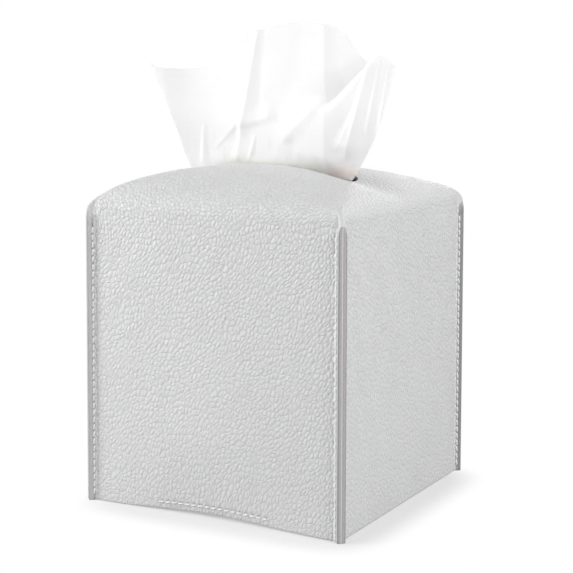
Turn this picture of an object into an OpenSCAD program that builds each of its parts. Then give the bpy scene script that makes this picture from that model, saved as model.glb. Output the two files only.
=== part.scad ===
// Square leather tissue box cover, standing over a cube carton of tissues.
// Origin at the middle of the hem's plane, +Z up, front wall towards -Y. Millimetres.

/* [Carton] */
// Outer width of the cube carton that the cover is made for
carton_w = 108; // [100:0.5:130]
// Outer height of the carton
carton_h = 118; // [100:0.5:130]
// Thickness of the paperboard
board_t = 0.6; // [0.4:0.05:0.8]
// Length of the window in the carton's top
window_l = 88; // [84:1:96]
// Width of that window
window_w = 40; // [30:1:60]
// Thickness of the window film
film_t = 0.2; // [0.15:0.05:0.3]
// Width of the opened slit in the film
slit_w = 18; // [16:0.5:24]

/* [Cover] */
// Room between the carton and the walls, halfway up
carton_room = 6.7; // [5:0.1:12]
// Height of the seams' upper ends over the carton
seam_over = 7.1; // [6:0.1:14]
// Rise of the crown over the seams' upper ends
crown_rise = 19.4; // [12:0.1:24]
// Thickness of the leather
leather_t = 1.8; // [1.2:0.1:2.2]
// How much wider the cover is at the hem than at the seam tops
flare = 1.8; // [0:0.1:3]
// Roundness exponent of the crown, from a wall to the middle
crown_power = 2.2; // [1.8:0.1:3]

/* [Corner seams] */
// How far the two sewn layers stand out past the walls
seam_margin = 3.5; // [2.5:0.1:5]
// Gap between the two raw edges at the tip of a seam
seam_gap = 0.2; // [0.1:0.05:0.4]
// Distance from the raw edges to the row of stitches
seam_inset = 2.3; // [1.6:0.1:3]
// Height over which the two layers close into a crest at the top of a seam
seam_arch = 4; // [2:0.5:8]

/* [Slot] */
// Length of the slot for the tissue
slot_l = 78; // [66:1:90]
// Width of the slot
slot_w = 16; // [14:0.5:22]
// How far the leather sinks at the ends of the slot
slot_dip = 2.5; // [0:0.1:6]

/* [Hem] */
// How far the straps draw the front and rear hems up in the middle
hem_lift = 1.4; // [0:0.1:3]
// How far the straps draw the front and rear hems in
hem_pull = 3; // [0:0.1:3.5]
// Height at which that pull has died out
pull_h = 40; // [25:1:60]

/* [Straps] */
// Width of the two closing straps
strap_w = 57; // [45:1:70]
// Thickness of a strap
strap_t = 1.6; // [1.2:0.1:2]
// Length over which the two straps overlap
strap_overlap = 30; // [26:1:36]
// Height of a strap's sewn end behind the hem
tab_h = 9; // [7:0.5:14]
// Radius of the corners at a strap's free end
strap_corner_r = 6; // [2:0.5:10]
// Height of the lower strap over the surface it stands on
strap_floor = 0.4; // [0.3:0.05:0.8]

/* [Hook and loop] */
// Length of a patch across the straps
patch_w = 50; // [36:1:56]
// Width of a patch along the straps
patch_l = 25; // [20:1:26]
// Thickness of a patch over its hooks or loops
patch_t = 1.2; // [1:0.1:1.6]
// Thickness of the woven edge that the stitches hold
selvedge_t = 0.5; // [0.4:0.05:0.7]
// Width of that woven edge
selvedge_w = 2.4; // [2:0.1:3]
// Gap between the two patches when the straps are closed
patch_gap = 0.2; // [0.15:0.05:0.4]

/* [Stitches] */
// Distance from one stitch to the next
stitch_pitch = 3.3; // [2.8:0.1:4.5]
// Length of one stitch on the surface
stitch_l = 2.6; // [2:0.1:2.8]
// Thickness of the heavy thread in the leather
thread_d = 0.7; // [0.5:0.05:0.8]
// Thickness of the light thread in the patches
fine_thread_d = 0.4; // [0.3:0.05:0.45]
// Height of the strap's row of stitches over the hem
row_h = 3; // [2.5:0.1:5]

/* [Tissues] */
// Height of the tissues left in the carton
stack_h = 34; // [24:1:60]
// Gap between the stack and the carton's walls
stack_gap = 1.5; // [1:0.1:3]
// Number of folded bundles in the stack
bundles = 10; // [6:1:16]
// Thickness of the drawn tissue, creases included
tissue_t = 0.5; // [0.4:0.05:0.6]
// Rise of the drawn tissue over the crown
tissue_rise = 62.5; // [50:0.5:80]
// Reach of the drawn tissue to each side
tissue_reach = 64.5; // [50:0.5:65]
// Depth of the drawn tissue, front to back
tissue_depth = 20; // [12:1:26]

/* [Hidden] */
$fn = 48;

// Clearances and overruns
touch_gap = 0.1;
running_gap = 0.15;
thread_gap = 0.05;
carton_gap = 0.3;
overrun = 1;

// Heights, from the surface it all stands on upwards
hinge_z = strap_floor + strap_t / 2;
hook_z = strap_floor + strap_t;
upper_strap_z = hook_z + patch_t + patch_gap + patch_t;
carton_z = upper_strap_z + strap_t + carton_gap;
carton_top = carton_z + carton_h;
seam_h = carton_top + seam_over;
cover_w = carton_w + 2 * (carton_room + leather_t);

// Places of the columns of points across half a wall, as shares of its half-width
half_shares = [0, 0.16, 0.32, 0.47, 0.61, 0.74, 0.85, 0.93, 1];
// Rings of points up the wall, as shares of the height that each part spans
pull_shares = [0, 0.15, 0.35, 0.65, 1];
arch_shares = [0, 0.5, 0.85];
// Rings over the crown: how far out each lies, and how far it has turned to the slot's outline
ring_shares = [1, 0.9975, 0.99, 0.975, 0.95, 0.915, 0.87, 0.8, 0.7, 0.59, 0.48];
turn_shares = [0, 0, 0, 0, 0, 0.02, 0.06, 0.16, 0.34, 0.58, 0.8];
// Exponent of a plan outline that is square but for its small rounded corners
square_power = 54;
// How fast the crown's outlines turn from square to round
crown_round_share = 1.9;
// Part of the crown over which the crest at a corner dies out
crest_share = 0.06;
// Half the angle of a slot's end that a side wall's columns meet, and that of a corner's columns
slot_fan = 62;
corner_fan = 16;
// Spread of the sunken ends of the slot
dip_l = slot_l * 0.23;
dip_w = slot_w * 0.7;
inner_r = leather_t / 2;
seam_half = leather_t + seam_gap / 2;
crest_half = leather_t / 2;
corner_in = seam_half * sqrt(2);
side_shares = concat([for (i = [len(half_shares) - 1:-1:1]) -half_shares[i]], half_shares);

// Straps
tab_z = hinge_z + strap_t / 2 + running_gap;
hinge_y = half_w(0) - hem_pull - leather_t - touch_gap - strap_t / 2;
strap_l = hinge_y + strap_overlap / 2;

// Contents of the carton
stack_z = carton_z + board_t + touch_gap;
stack_w = carton_w - 2 * (board_t + stack_gap);
stack_top = stack_z + stack_h;

// Drawn tissue: places of its fold lines, from its left edge to its right edge, at the slot,
// a third of the way up, and along its free edge
slot_x_shares = [-1, -0.86, -0.7, -0.42, -0.66, -0.4, -0.1, 0.26, 0.6, 0.84, 0.42, 0.62, 0.8, 1];
slot_y_shares = [-0.1, -0.55, -0.9, -0.8, -0.3, 0.1, -0.35, -0.3, 0.05, 0.5, 0.85, 0.45, 0.3, 0.1];
mid_x_shares = [-0.86, -0.69, -0.5, -0.29, -0.27, -0.1, 0.06, 0.21, 0.38, 0.5, 0.34, 0.44, 0.61, 0.79];
mid_y_shares = [-0.2, -0.5, -0.75, -0.55, 0.1, -0.25, -0.5, -0.4, 0, 0.5, 0.8, 0.3, -0.15, -0.35];
top_x_shares = [-1, -0.79, -0.52, -0.2, -0.16, -0.02, 0.13, 0.31, 0.45, 0.55, 0.48, 0.62, 0.74, 0.89];
top_y_shares = [-0.35, -0.1, -0.3, -0.5, -0.2, -0.25, -0.4, -0.25, 0.2, 0.7, 1, 0.4, -0.1, -0.3];
top_z_shares = [0.72, 0.69, 0.75, 0.94, 0.955, 0.98, 1, 0.99, 0.94, 0.84, 0.77, 0.745, 0.77, 0.72];
// Heights of the rows of points over the slot, as shares of the rise
row_shares = [0, 0.06, 0.13, 0.21, 0.3, 0.4, 0.5, 0.6, 0.7, 0.8, 0.9, 1];
mid_share = 0.36;
fold_steps = 3;
slot_z = roof_z([0, 0], 0);
tissue_half_x = slot_l / 2 - 1.2 * leather_t;
tissue_half_y = slot_w * 0.28;
tissue_y = -slot_w * 0.14;

function mix(a, b, t) = a + (b - a) * t;
function unit(v) = v / norm(v);
function spin(p, k) = [p[0] * cos(90 * k) - p[1] * sin(90 * k), p[0] * sin(90 * k) + p[1] * cos(90 * k)];
function on_diagonal(along, across) = [along + across, across - along] / sqrt(2);

// Walls: half-width at a height, and the hem as the straps draw it in and up
function half_w(z) = cover_w / 2 + flare / 2 * (1 / 2 - z / seam_h);
function hem_share(k, s) = k % 2 == 0 ? pow(cos(90 * s), 2) : 0;
function pull(k, s, z) = z < pull_h ? hem_pull * hem_share(k, s) * pow(1 - z / pull_h, 2) : 0;
function lift(k, s, z) = z < pull_h ? hem_lift * hem_share(k, s) * (1 - z / pull_h) : 0;

// Sewn layers, open by a share: 1 where their raw edges lie apart, 0 where one fold makes a crest
function sewn_half(open) = mix(crest_half, seam_half, open);
function seam_tip(z) = (2 * half_w(z) - corner_in) / sqrt(2) + seam_margin;

// A point of wall k, at share s of its half-width
function wall_point(k, s, z, inset, open) =
    let (a = half_w(z) - inset,
         along = s * (a - (inset > 0 ? inner_r : sewn_half(open) * sqrt(2))),
         p = spin([along, pull(k, s, z) - a], k))
    [p[0], p[1], z + lift(k, s, z)];

// A point of the corner after wall k: c runs from -2 to 2 over one raw edge, the gap and the other
function corner_point(k, c, z, inset, open) =
    let (xy = inset > 0 ? inner_corner(c, half_w(z) - inset) : sewn_corner(c, seam_tip(z), open),
         p = spin(xy, k))
    [p[0], p[1], z];
function inner_corner(c, a) =
    on_diagonal((a - inner_r) * sqrt(2) + inner_r * cos(15 * c), inner_r * sin(15 * c));
function sewn_corner(c, tip, open) =
    abs(c) == 2 ? on_diagonal(tip - (1 - open) * crest_half / 2, sign(c) * sewn_half(open))
    : abs(c) == 1 ? on_diagonal(tip, sign(c) * mix(crest_half, seam_gap, open) / 2)
    : on_diagonal(tip - seam_inset * open, 0);

function wall_ring(z, inset, open) =
    [for (k = [0:3]) each concat([for (s = side_shares) wall_point(k, s, z, inset, open)],
                                 [for (c = [-2:2]) corner_point(k, c, z, inset, open)])];

// Crown: level 1 is the wall's outline, level 0 the middle
function plan_power(q) = q > 0.999 ? square_power
    : min(square_power, 2 + crown_round_share * pow(q, 3) / (1 - q));
function plan_norm(u, v, m) = max(u, v) == 0 ? 0
    : max(u, v) * pow(1 + pow(min(u, v) / max(u, v), m), 1 / m);
function level(u, v, low = 0, high = 1, steps = 14) = steps == 0 ? (low + high) / 2
    : let (q = (low + high) / 2)
      plan_norm(u, v, plan_power(q)) > q ? level(u, v, q, high, steps - 1)
                                         : level(u, v, low, q, steps - 1);
function dip(x, y) = slot_dip * exp(-pow((abs(x) - slot_l / 2) / dip_l, 2) - pow(y / dip_w, 2));
function roof_z(p, inset) =
    let (a = half_w(seam_h) - inset,
         q = min(1, level(abs(p[0]) / a, abs(p[1]) / a)),
         share = pow(max(0, 1 - pow(q, crown_power)), 1 / crown_power))
    seam_h + (crown_rise - inset) * share - dip(p[0], p[1]);

// The slot's outline, met by the column of a wall or of a corner
function slot_wall_point(k, s) = k % 2 == 0
    ? spin([s * (slot_l - slot_w) / 2, -slot_w / 2], k)
    : spin([slot_w / 2 * sin(slot_fan * s), -(slot_l - slot_w) / 2 - slot_w / 2 * cos(slot_fan * s)], k);
function slot_corner_point(k, c) =
    let (turn = (k % 2 == 0 ? -1 : 1) * (slot_fan + corner_fan) + corner_fan * c / 4,
         side = k < 2 && k >= 0 ? 1 : -1)
    side * [(slot_l - slot_w) / 2 + slot_w / 2 * cos(turn), slot_w / 2 * sin(turn)];
slot_ring = [for (k = [0:3]) each concat([for (s = side_shares) slot_wall_point(k, s)],
                                         [for (c = [-2:2]) slot_corner_point(k, c)])];

// The crown starts at the seams' crests, which sink into it as it rises
function crown_point(p, slot_p, q, turn, inset) =
    let (a = half_w(seam_h) - inset,
         d = norm([p[0], p[1]]),
         u = abs(p[0]) / d,
         v = abs(p[1]) / d,
         r = q * a / plan_norm(u, v, plan_power(q)),
         smooth_xy = mix([p[0], p[1]] * r / d, slot_p, turn),
         crest = pow(max(0, 1 - (1 - q) / crest_share), 2),
         xy = mix(smooth_xy, [p[0], p[1]] * q, crest))
    [xy[0], xy[1], q == 1 ? seam_h : roof_z(smooth_xy, inset)];
function crown_ring(q, turn, inset) =
    let (base = wall_ring(seam_h, inset, 0))
    [for (i = [0:len(base) - 1]) crown_point(base[i], slot_ring[i], q, turn, inset)];
function lip_ring(inset) = [for (p = slot_ring) [p[0], p[1], roof_z(p, inset)]];

// Closed skin over a list of rings; the last ring joins the first again
module ring_skin(rings) {
    n = len(rings[0]);
    m = len(rings);
    polyhedron(
        points = [for (ring = rings) each ring],
        faces = [for (i = [0:m - 1]) for (j = [0:n - 1])
                 let (i2 = (i + 1) % m, j2 = (j + 1) % n)
                 each [[i * n + j, i2 * n + j, i2 * n + j2], [i * n + j, i2 * n + j2, i * n + j2]]],
        convexity = 8);
}

module leather_cover() {
    arch_z = seam_h - seam_arch;
    outer_walls = concat([for (t = pull_shares) wall_ring(t * pull_h, 0, 1)],
                         [for (t = arch_shares) wall_ring(arch_z + t * seam_arch, 0, sqrt(1 - t * t))]);
    outer_crown = [for (i = [0:len(ring_shares) - 1]) crown_ring(ring_shares[i], turn_shares[i], 0)];
    inner_crown = [for (i = [len(ring_shares) - 1:-1:0])
                   crown_ring(ring_shares[i], turn_shares[i], leather_t)];
    inner_walls = [for (i = [len(pull_shares) - 1:-1:0]) wall_ring(pull_shares[i] * pull_h, leather_t, 0)];
    color("gainsboro") ring_skin(concat(outer_walls, outer_crown, [lip_ring(0), lip_ring(leather_t)],
                                        inner_crown, inner_walls));
}

// One stitch from a to b, its ends chamfered where it dives into its needle holes
module stitch(a, b, d) {
    v = b - a;
    length = norm(v);
    translate(a) rotate([0, acos(v[2] / length), atan2(v[1], v[0])])
        rotate_extrude($fn = 16)
            polygon([[0, 0], [d / 4, 0], [d / 2, d / 3],
                     [d / 2, length - d / 3], [d / 4, length], [0, length]]);
}

// Row of stitches on both faces of the sewn layers of the corner after wall k
module seam_thread(k) {
    count = floor((seam_h - seam_arch - row_h) / stitch_pitch);
    out = seam_half + thread_gap + thread_d / 2;
    color("whitesmoke") for (i = [0:count - 1]) for (side = [-1, 1]) {
        z = row_h + i * stitch_pitch;
        low = seam_row_point(k, z, side * out);
        high = seam_row_point(k, z + stitch_l, side * out);
        stitch(low, high, thread_d);
    }
}
function seam_row_point(k, z, across) =
    let (p = spin(on_diagonal(seam_tip(z) - seam_inset, across), k))
    [p[0], p[1], z];

module seam_thread_front_right() seam_thread(0);
module seam_thread_rear_right() seam_thread(1);
module seam_thread_rear_left() seam_thread(2);
module seam_thread_front_left() seam_thread(3);

// Point at x on the wall over a strap, set in by a distance, at height z
function strap_wall_point(x, z, inset) =
    let (s = x / (half_w(0) - corner_in),
         drawn_up = hem_lift * hem_share(0, s),
         z0 = (z - drawn_up) / (1 - drawn_up / pull_h))
    [x, inset + pull(0, s, z0) - half_w(z0), z];

// Sewn end of a strap, bent to the hem it is sewn behind
module strap_tab() {
    xs = [for (i = [-4:4]) i / 4 * strap_w / 2];
    zs = [for (i = [0:3]) tab_z + tab_h * i / 3];
    face = leather_t + touch_gap;
    rings = [for (z = zs) concat([for (x = xs) strap_wall_point(x, z, face)],
                                 [for (i = [len(xs) - 1:-1:0]) strap_wall_point(xs[i], z, face + strap_t)])];
    n = len(rings[0]);
    m = len(rings);
    half = len(xs);
    polyhedron(
        points = [for (ring = rings) each ring],
        faces = concat(
            [for (i = [0:m - 2]) for (j = [0:n - 1]) let (a = i * n, b = a + n, j2 = (j + 1) % n)
             each [[a + j, b + j, b + j2], [a + j, b + j2, a + j2]]],
            [for (j = [0:half - 2]) each [[j, j + 1, n - 2 - j], [j, n - 2 - j, n - 1 - j]]],
            [for (j = [0:half - 2]) let (o = (m - 1) * n)
             each [[o + j, o + n - 2 - j, o + j + 1], [o + j, o + n - 1 - j, o + n - 2 - j]]]));
}

// Stitches through wall and strap end, seen on the wall and again inside
module strap_thread() {
    count = floor(strap_w / stitch_pitch);
    start = -(count - 1) / 2 * stitch_pitch - stitch_l / 2;
    color("whitesmoke") for (i = [0:count - 1]) {
        x = start + i * stitch_pitch;
        for (inset = [-thread_gap - thread_d / 2,
                      leather_t + touch_gap + strap_t + thread_gap + thread_d / 2])
            stitch(strap_row_point(x, inset), strap_row_point(x + stitch_l, inset), thread_d);
    }
}
function strap_row_point(x, inset) =
    let (s = x / (half_w(0) - corner_in))
    strap_wall_point(x, row_h + lift(0, s, 0), inset);

// Extrudes a profile drawn in Y and Z along X, about the middle
module along_x(w) translate([-w / 2, 0, 0]) rotate([90, 0, 90]) linear_extrude(w) children();

// Plan outline of a strap's free part, with rounded corners at its tip
module strap_plan(h) {
    linear_extrude(h) {
        translate([-strap_w / 2, -hinge_y - strap_t]) square([strap_w, strap_l + strap_t - strap_corner_r]);
        translate([-strap_w / 2 + strap_corner_r, -hinge_y]) square([strap_w - 2 * strap_corner_r, strap_l]);
        for (x = [-1, 1])
            translate([x * (strap_w / 2 - strap_corner_r), strap_l - hinge_y - strap_corner_r])
                circle(strap_corner_r);
    }
}

module front_strap_tab() color("silver") strap_tab();
module rear_strap_tab() color("silver") rotate(180) strap_tab();
module front_strap_thread() strap_thread();
module rear_strap_thread() rotate(180) strap_thread();

// Side view of a strap: a strip along a path in Y and Z, round at its root
module strip(path) {
    n = len(path) - 1;
    sides = [for (side = [-1, 1]) [for (i = [0:n])
        let (u = unit(path[max(i, 1)] - path[max(i, 1) - 1]),
             v = unit(path[min(i + 1, n)] - path[min(i, n - 1)]),
             m = (u + v) / (1 + u * v))
        path[i] + side * strap_t / 2 * [-m[1], m[0]]]];
    climb = path[1] - path[0];
    turn = atan2(climb[1], climb[0]);
    polygon(concat(sides[0], [for (i = [n:-1:0]) sides[1][i]],
                   [for (a = [105:15:255]) path[0] + strap_t / 2 * [cos(turn + a), sin(turn + a)]]));
}

// Lower strap: turns at its rounded root and lies flat under the patches
module front_strap() color("silver") intersection() {
    along_x(strap_w) strip([[-hinge_y, hinge_z], [strap_overlap / 2, hinge_z]]);
    strap_plan(upper_strap_z);
}

// Upper strap: climbs from its root to lie over the patches
module rear_strap() color("silver") rotate(180) intersection() {
    upper_z = upper_strap_z + strap_t / 2;
    along_x(strap_w) strip([[-hinge_y, hinge_z], [-strap_overlap / 2 - strap_t * 3, upper_z],
                            [strap_overlap / 2, upper_z]]);
    strap_plan(upper_strap_z + strap_t + overrun);
}

// Woven tape with a flat edge along both sides of its field of hooks or loops
module patch() {
    translate([-patch_w / 2, -patch_l / 2, 0]) cube([patch_w, patch_l, selvedge_t]);
    translate([-patch_w / 2, selvedge_w - patch_l / 2, 0]) cube([patch_w, patch_l - 2 * selvedge_w, patch_t]);
}
module patch_thread() {
    count = floor((patch_w - stitch_l) / stitch_pitch);
    start = -(count - 1) / 2 * stitch_pitch - stitch_l / 2;
    color("whitesmoke") for (i = [0:count - 1]) for (side = [-1, 1]) {
        x = start + i * stitch_pitch;
        y = side * (patch_l / 2 - selvedge_w / 2);
        z = selvedge_t + thread_gap + fine_thread_d / 2;
        stitch([x, y, z], [x + stitch_l, y, z], fine_thread_d);
    }
}
module on_lower_strap() translate([0, 0, hook_z]) children();
module under_upper_strap() translate([0, 0, upper_strap_z]) rotate([180, 0, 0]) children();
module hook_patch() color("lightgrey") on_lower_strap() patch();
module hook_patch_thread() on_lower_strap() patch_thread();
module loop_patch() color("lightgrey") under_upper_strap() patch();
module loop_patch_thread() under_upper_strap() patch_thread();

// Outline with two straight sides and round ends
module stadium(l, w) {
    square([l - w, w], center = true);
    for (x = [-1, 1]) translate([x * (l - w) / 2, 0]) circle(d = w);
}

module tissue_carton() color("white") translate([0, 0, carton_z]) difference() {
    translate([-carton_w / 2, -carton_w / 2, 0]) cube([carton_w, carton_w, carton_h]);
    translate([board_t - carton_w / 2, board_t - carton_w / 2, board_t])
        cube([carton_w - 2 * board_t, carton_w - 2 * board_t, carton_h - 2 * board_t]);
    translate([0, 0, carton_h - board_t - overrun])
        linear_extrude(board_t + 2 * overrun) stadium(window_l, window_w);
}

// Window film glued under the carton's top, its slit spread by the tissue
module carton_film() color("aliceblue") translate([0, 0, carton_top - board_t - film_t])
    linear_extrude(film_t) difference() {
        square([window_l + window_w / 4, window_w * 1.4], center = true);
        translate([0, tissue_y]) stadium(slot_l, slit_w);
    }

// Interfolded bundles, each rounded where its sheets turn back
module tissue_stack() color("white") translate([0, 0, stack_z]) along_x(stack_w) {
    r = stack_h / bundles / 2;
    x = stack_w / 2 - r;
    edge = concat([for (i = [0:bundles - 1]) for (a = [-90:30:60])
                   [x + r * cos(a), r * (2 * i + 1 + sin(a))]], [[x, stack_h]]);
    polygon(concat(edge, [for (i = [len(edge) - 1:-1:0]) [-edge[i][0], edge[i][1]]]));
}

// Drawn tissue: columns lie on smooth curves through the fold lines
function spline(v, t) =
    let (n = len(v) - 1, i = min(floor(t), n - 1), f = t - i,
         a = v[max(i - 1, 0)], b = v[i], c = v[i + 1], d = v[min(i + 2, n)])
    b + f * (c - a) / 2 + f * f * (2 * a - 5 * b + 4 * c - d) / 2 + f * f * f * (3 * b - 3 * c + d - a) / 2;
function fold_point(t, h) =
    let (at_slot = [spline(slot_x_shares, t) * tissue_half_x,
                    tissue_y + spline(slot_y_shares, t) * tissue_half_y],
         at_mid = [spline(mid_x_shares, t) * tissue_reach, spline(mid_y_shares, t) * tissue_depth * 0.7],
         at_top = [spline(top_x_shares, t) * tissue_reach, spline(top_y_shares, t) * tissue_depth],
         low = 1 - min(1, h / mid_share),
         high = max(0, (h - mid_share) / (1 - mid_share)),
         ease = low * low,
         xy = h < mid_share ? mix(at_mid, at_slot, ease) : mix(at_mid, at_top, high),
         z = slot_z + h * tissue_rise * spline(top_z_shares, t))
    [xy[0], xy[1], z];
module popup_tissue() color("white") {
    cols = (len(slot_x_shares) - 1) * fold_steps;
    foot = [for (i = [0:cols]) fold_point(i / fold_steps, 0)];
    tail = [stack_top + carton_gap, slot_z - leather_t * 3];
    rows = concat([for (z = tail) [for (p = foot) [p[0], p[1], z]]],
                  [for (h = row_shares) [for (i = [0:cols]) fold_point(i / fold_steps, h)]]);
    n = cols + 1;
    m = len(rows);
    sides = [for (side = [-1, 1]) [for (row = rows) each [for (i = [0:cols])
        let (a = row[max(i - 1, 0)], b = row[min(i + 1, cols)],
             d = [b[0] - a[0], b[1] - a[1]], len_d = norm(d))
        row[i] + side * tissue_t / 2 * [d[1], -d[0], 0] / len_d]]];
    back = m * n;
    polyhedron(
        points = concat(sides[0], sides[1]),
        faces = concat(
            [for (i = [0:m - 2]) for (j = [0:cols - 1]) let (a = i * n + j, b = a + n)
             each [[a, a + 1, b + 1], [a, b + 1, b],
                   [back + a, back + b + 1, back + a + 1], [back + a, back + b, back + b + 1]]],
            [for (j = [0:cols - 1]) let (o = (m - 1) * n + j)
             each [[j, back + j + 1, j + 1], [j, back + j, back + j + 1],
                   [o, o + 1, back + o + 1], [o, back + o + 1, back + o]]],
            [for (i = [0:m - 2]) let (a = i * n, b = a + n, c = a + cols, e = b + cols)
             each [[a, b, back + b], [a, back + b, back + a],
                   [c, back + e, e], [c, back + c, back + e]]]),
        convexity = 12);
}

leather_cover();
seam_thread_front_right();
seam_thread_rear_right();
seam_thread_rear_left();
seam_thread_front_left();
front_strap_tab();
front_strap();
front_strap_thread();
rear_strap_tab();
rear_strap();
rear_strap_thread();
hook_patch();
hook_patch_thread();
loop_patch();
loop_patch_thread();
tissue_carton();
carton_film();
tissue_stack();
popup_tissue();
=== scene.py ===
"""Pebbled leather tissue box cover with its carton and a drawn tissue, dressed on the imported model.

Lengths are in millimetres until a mesh is made. The hem lies at height zero, +Z is up and the front
wall faces -Y. The walls are numbered 0 front, 1 right, 2 rear and 3 left, and the seam that follows a
wall has its number. A place s across a wall runs from -1 to 1.
"""

import math

import bpy
import numpy as np
from mathutils import Matrix, Vector, noise


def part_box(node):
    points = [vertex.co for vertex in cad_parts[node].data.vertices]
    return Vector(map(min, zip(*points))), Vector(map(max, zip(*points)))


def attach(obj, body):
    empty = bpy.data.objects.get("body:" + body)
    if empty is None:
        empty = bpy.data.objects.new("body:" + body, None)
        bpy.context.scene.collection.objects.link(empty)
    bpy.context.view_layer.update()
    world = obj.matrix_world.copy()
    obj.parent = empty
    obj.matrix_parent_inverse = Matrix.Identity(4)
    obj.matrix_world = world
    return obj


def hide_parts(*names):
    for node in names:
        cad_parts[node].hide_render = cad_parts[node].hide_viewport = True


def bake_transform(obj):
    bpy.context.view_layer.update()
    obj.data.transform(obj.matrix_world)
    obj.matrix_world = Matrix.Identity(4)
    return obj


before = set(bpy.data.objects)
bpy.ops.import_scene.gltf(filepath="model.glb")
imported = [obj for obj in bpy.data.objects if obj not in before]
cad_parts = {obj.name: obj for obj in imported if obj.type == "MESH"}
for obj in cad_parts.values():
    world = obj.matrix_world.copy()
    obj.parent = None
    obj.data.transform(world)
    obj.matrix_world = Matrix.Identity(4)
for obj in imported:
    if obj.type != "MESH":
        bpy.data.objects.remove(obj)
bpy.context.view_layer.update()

MM = 0.001
ROOT2 = math.sqrt(2)
WHITE = (1, 1, 1, 1)

# Cover, as in the part: walls, seams, crown, and slot, whose straight sides are twice SLOT_STRAIGHT.
# END_FAN and CORNER_TURN say where the end walls' and the corners' columns meet its round ends, in
# degrees.
LEATHER_T = 1.8
CARTON_W = 108
COVER_W = CARTON_W + 2 * (6.7 + LEATHER_T)
FLARE = 1.8
SEAM_H = 131.6
CROWN_RISE = 19.4
CROWN_TOP = SEAM_H + CROWN_RISE
CROWN_POWER = 2.2
SQUARE_POWER = 54
CROWN_ROUND = 1.9
CREST_SHARE = 0.06
SEAM_MARGIN = 3.5
SEAM_HALF = LEATHER_T + 0.1
SEAM_INSET = 2.3
SEAM_ROW = SEAM_MARGIN - SEAM_INSET
SEAM_ARCH = 4
CREST_HALF = LEATHER_T / 2
CORNER_IN = SEAM_HALF * ROOT2
INNER_R = LEATHER_T / 2
SLOT_L = 78
SLOT_W = 16
SLOT_STRAIGHT = (SLOT_L - SLOT_W) / 2
SLOT_DIP = 2.5
END_FAN = 62
CORNER_TURN = 78
HEM_LIFT = 1.4
HEM_PULL = 3
PULL_H = 40

# Stitches: pitch, length, the threads' radii and twist in radians a millimetre, height of the hem's
# row, and how far they sink into the leather
PITCH = 3.3
STITCH_L = 2.6
THREAD_R = 0.45
FINE_THREAD_R = 0.2
THREAD_TWIST = 2.6
ROW_H = 3
SUNK = 0.12

# Straps and patches. A strap's tip is round from STRAP_ROUND_FROM on. TAB_TOP is the top of a sewn end,
# FOLD_R its fold's radius, FOLD_REACH how far the bend reaches from the fold's axis when the strap
# swings, and PILE_Z where hooks stand on their tape. BORDER_SHARE and SIDE_SHARE are the thickness left
# at a rounded end or side.
STRAP_W = 57
STRAP_T = 1.6
STRAP_OVERLAP = 30
STRAP_CORNER_R = 6
STRAP_ROUND_FROM = STRAP_OVERLAP / 2 - STRAP_CORNER_R
BORDER_SHARE = 0.6
SIDE_SHARE = 0.55
TAB_TOP = 11.15
TOUCH_GAP = 0.1
FOLD_R = 1.4
HOOK_Z = 2
UPPER_STRAP_Z = 4.6
PATCH_W = 50
PATCH_L = 25
SELVEDGE_T = 0.5
SELVEDGE_W = 2.4
PILE_Z = 0.55
# Points and radii of one hook, the hooks' pitches, and the loops' number and thread radius
HOOK_BEND = [[0, 0, 0], [0, 0, 0.3], [0.12, 0, 0.51], [0.34, 0, 0.53], [0.46, 0, 0.37]]
HOOK_RADII = [0.11, 0.1, 0.09, 0.08, 0.07]
HOOK_PITCH_X = 1.5
HOOK_PITCH_Y = 1.1
LOOP_COUNT = 900
LOOP_R = 0.05

# Stack in the carton: its plies, the gap round each, and how far each can lie out of line
PLIES_LEFT = 40
PLY_GAP = 0.03
PLY_SHIFT = 1.1

# Drawn tissue: its rise over the crown, its reach sideways and its pleated tail. Its edges and folds are
# shares of that reach and rise.
TISSUE_T = 0.16
TISSUE_RISE = 62.5
TISSUE_REACH = 64.5
TISSUE_Y = -4
TAIL_BOTTOM = 41.5
PLEATS = 8
PLEAT_DEPTH = 5.6
SHEET_COLUMNS = 280
TAIL_ROWS = 60
# Its neck: how deep the pleats are there, how far it lies under the lowest row over the slot, and over
# what height the tail spreads below it. Then the rise over the crown of the row in the slot and of the
# row on its rim, within the slot's length and past its ends.
NECK_SHARE = 0.4
NECK_DROP = 3
SPREAD_H = 32
IN_SLOT_RISES = (-3.5, 0.8)
ON_RIM_RISES = (-0.2, 1.3)
# Its left and right edges at four rows from the slot up, the heights of the last three, and its free edge
EDGE_HEIGHT_SHARES = [0, 0.36, 1]
LEFT_EDGE_SHARES = [-0.567, -0.71, -0.82, -0.99]
RIGHT_EDGE_SHARES = [0.5, 0.58, 0.775, 0.9]
TOP_X_SHARES = [-0.99, -0.92, -0.81, -0.63, -0.5, -0.29, -0.15, -0.02,
                0.14, 0.38, 0.53, 0.61, 0.7, 0.775, 0.85, 0.9]
TOP_Z_SHARES = [0.715, 0.68, 0.675, 0.68, 0.735, 0.865, 0.95, 0.98,
                1.0, 0.99, 0.92, 0.81, 0.73, 0.77, 0.745, 0.7]
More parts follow.
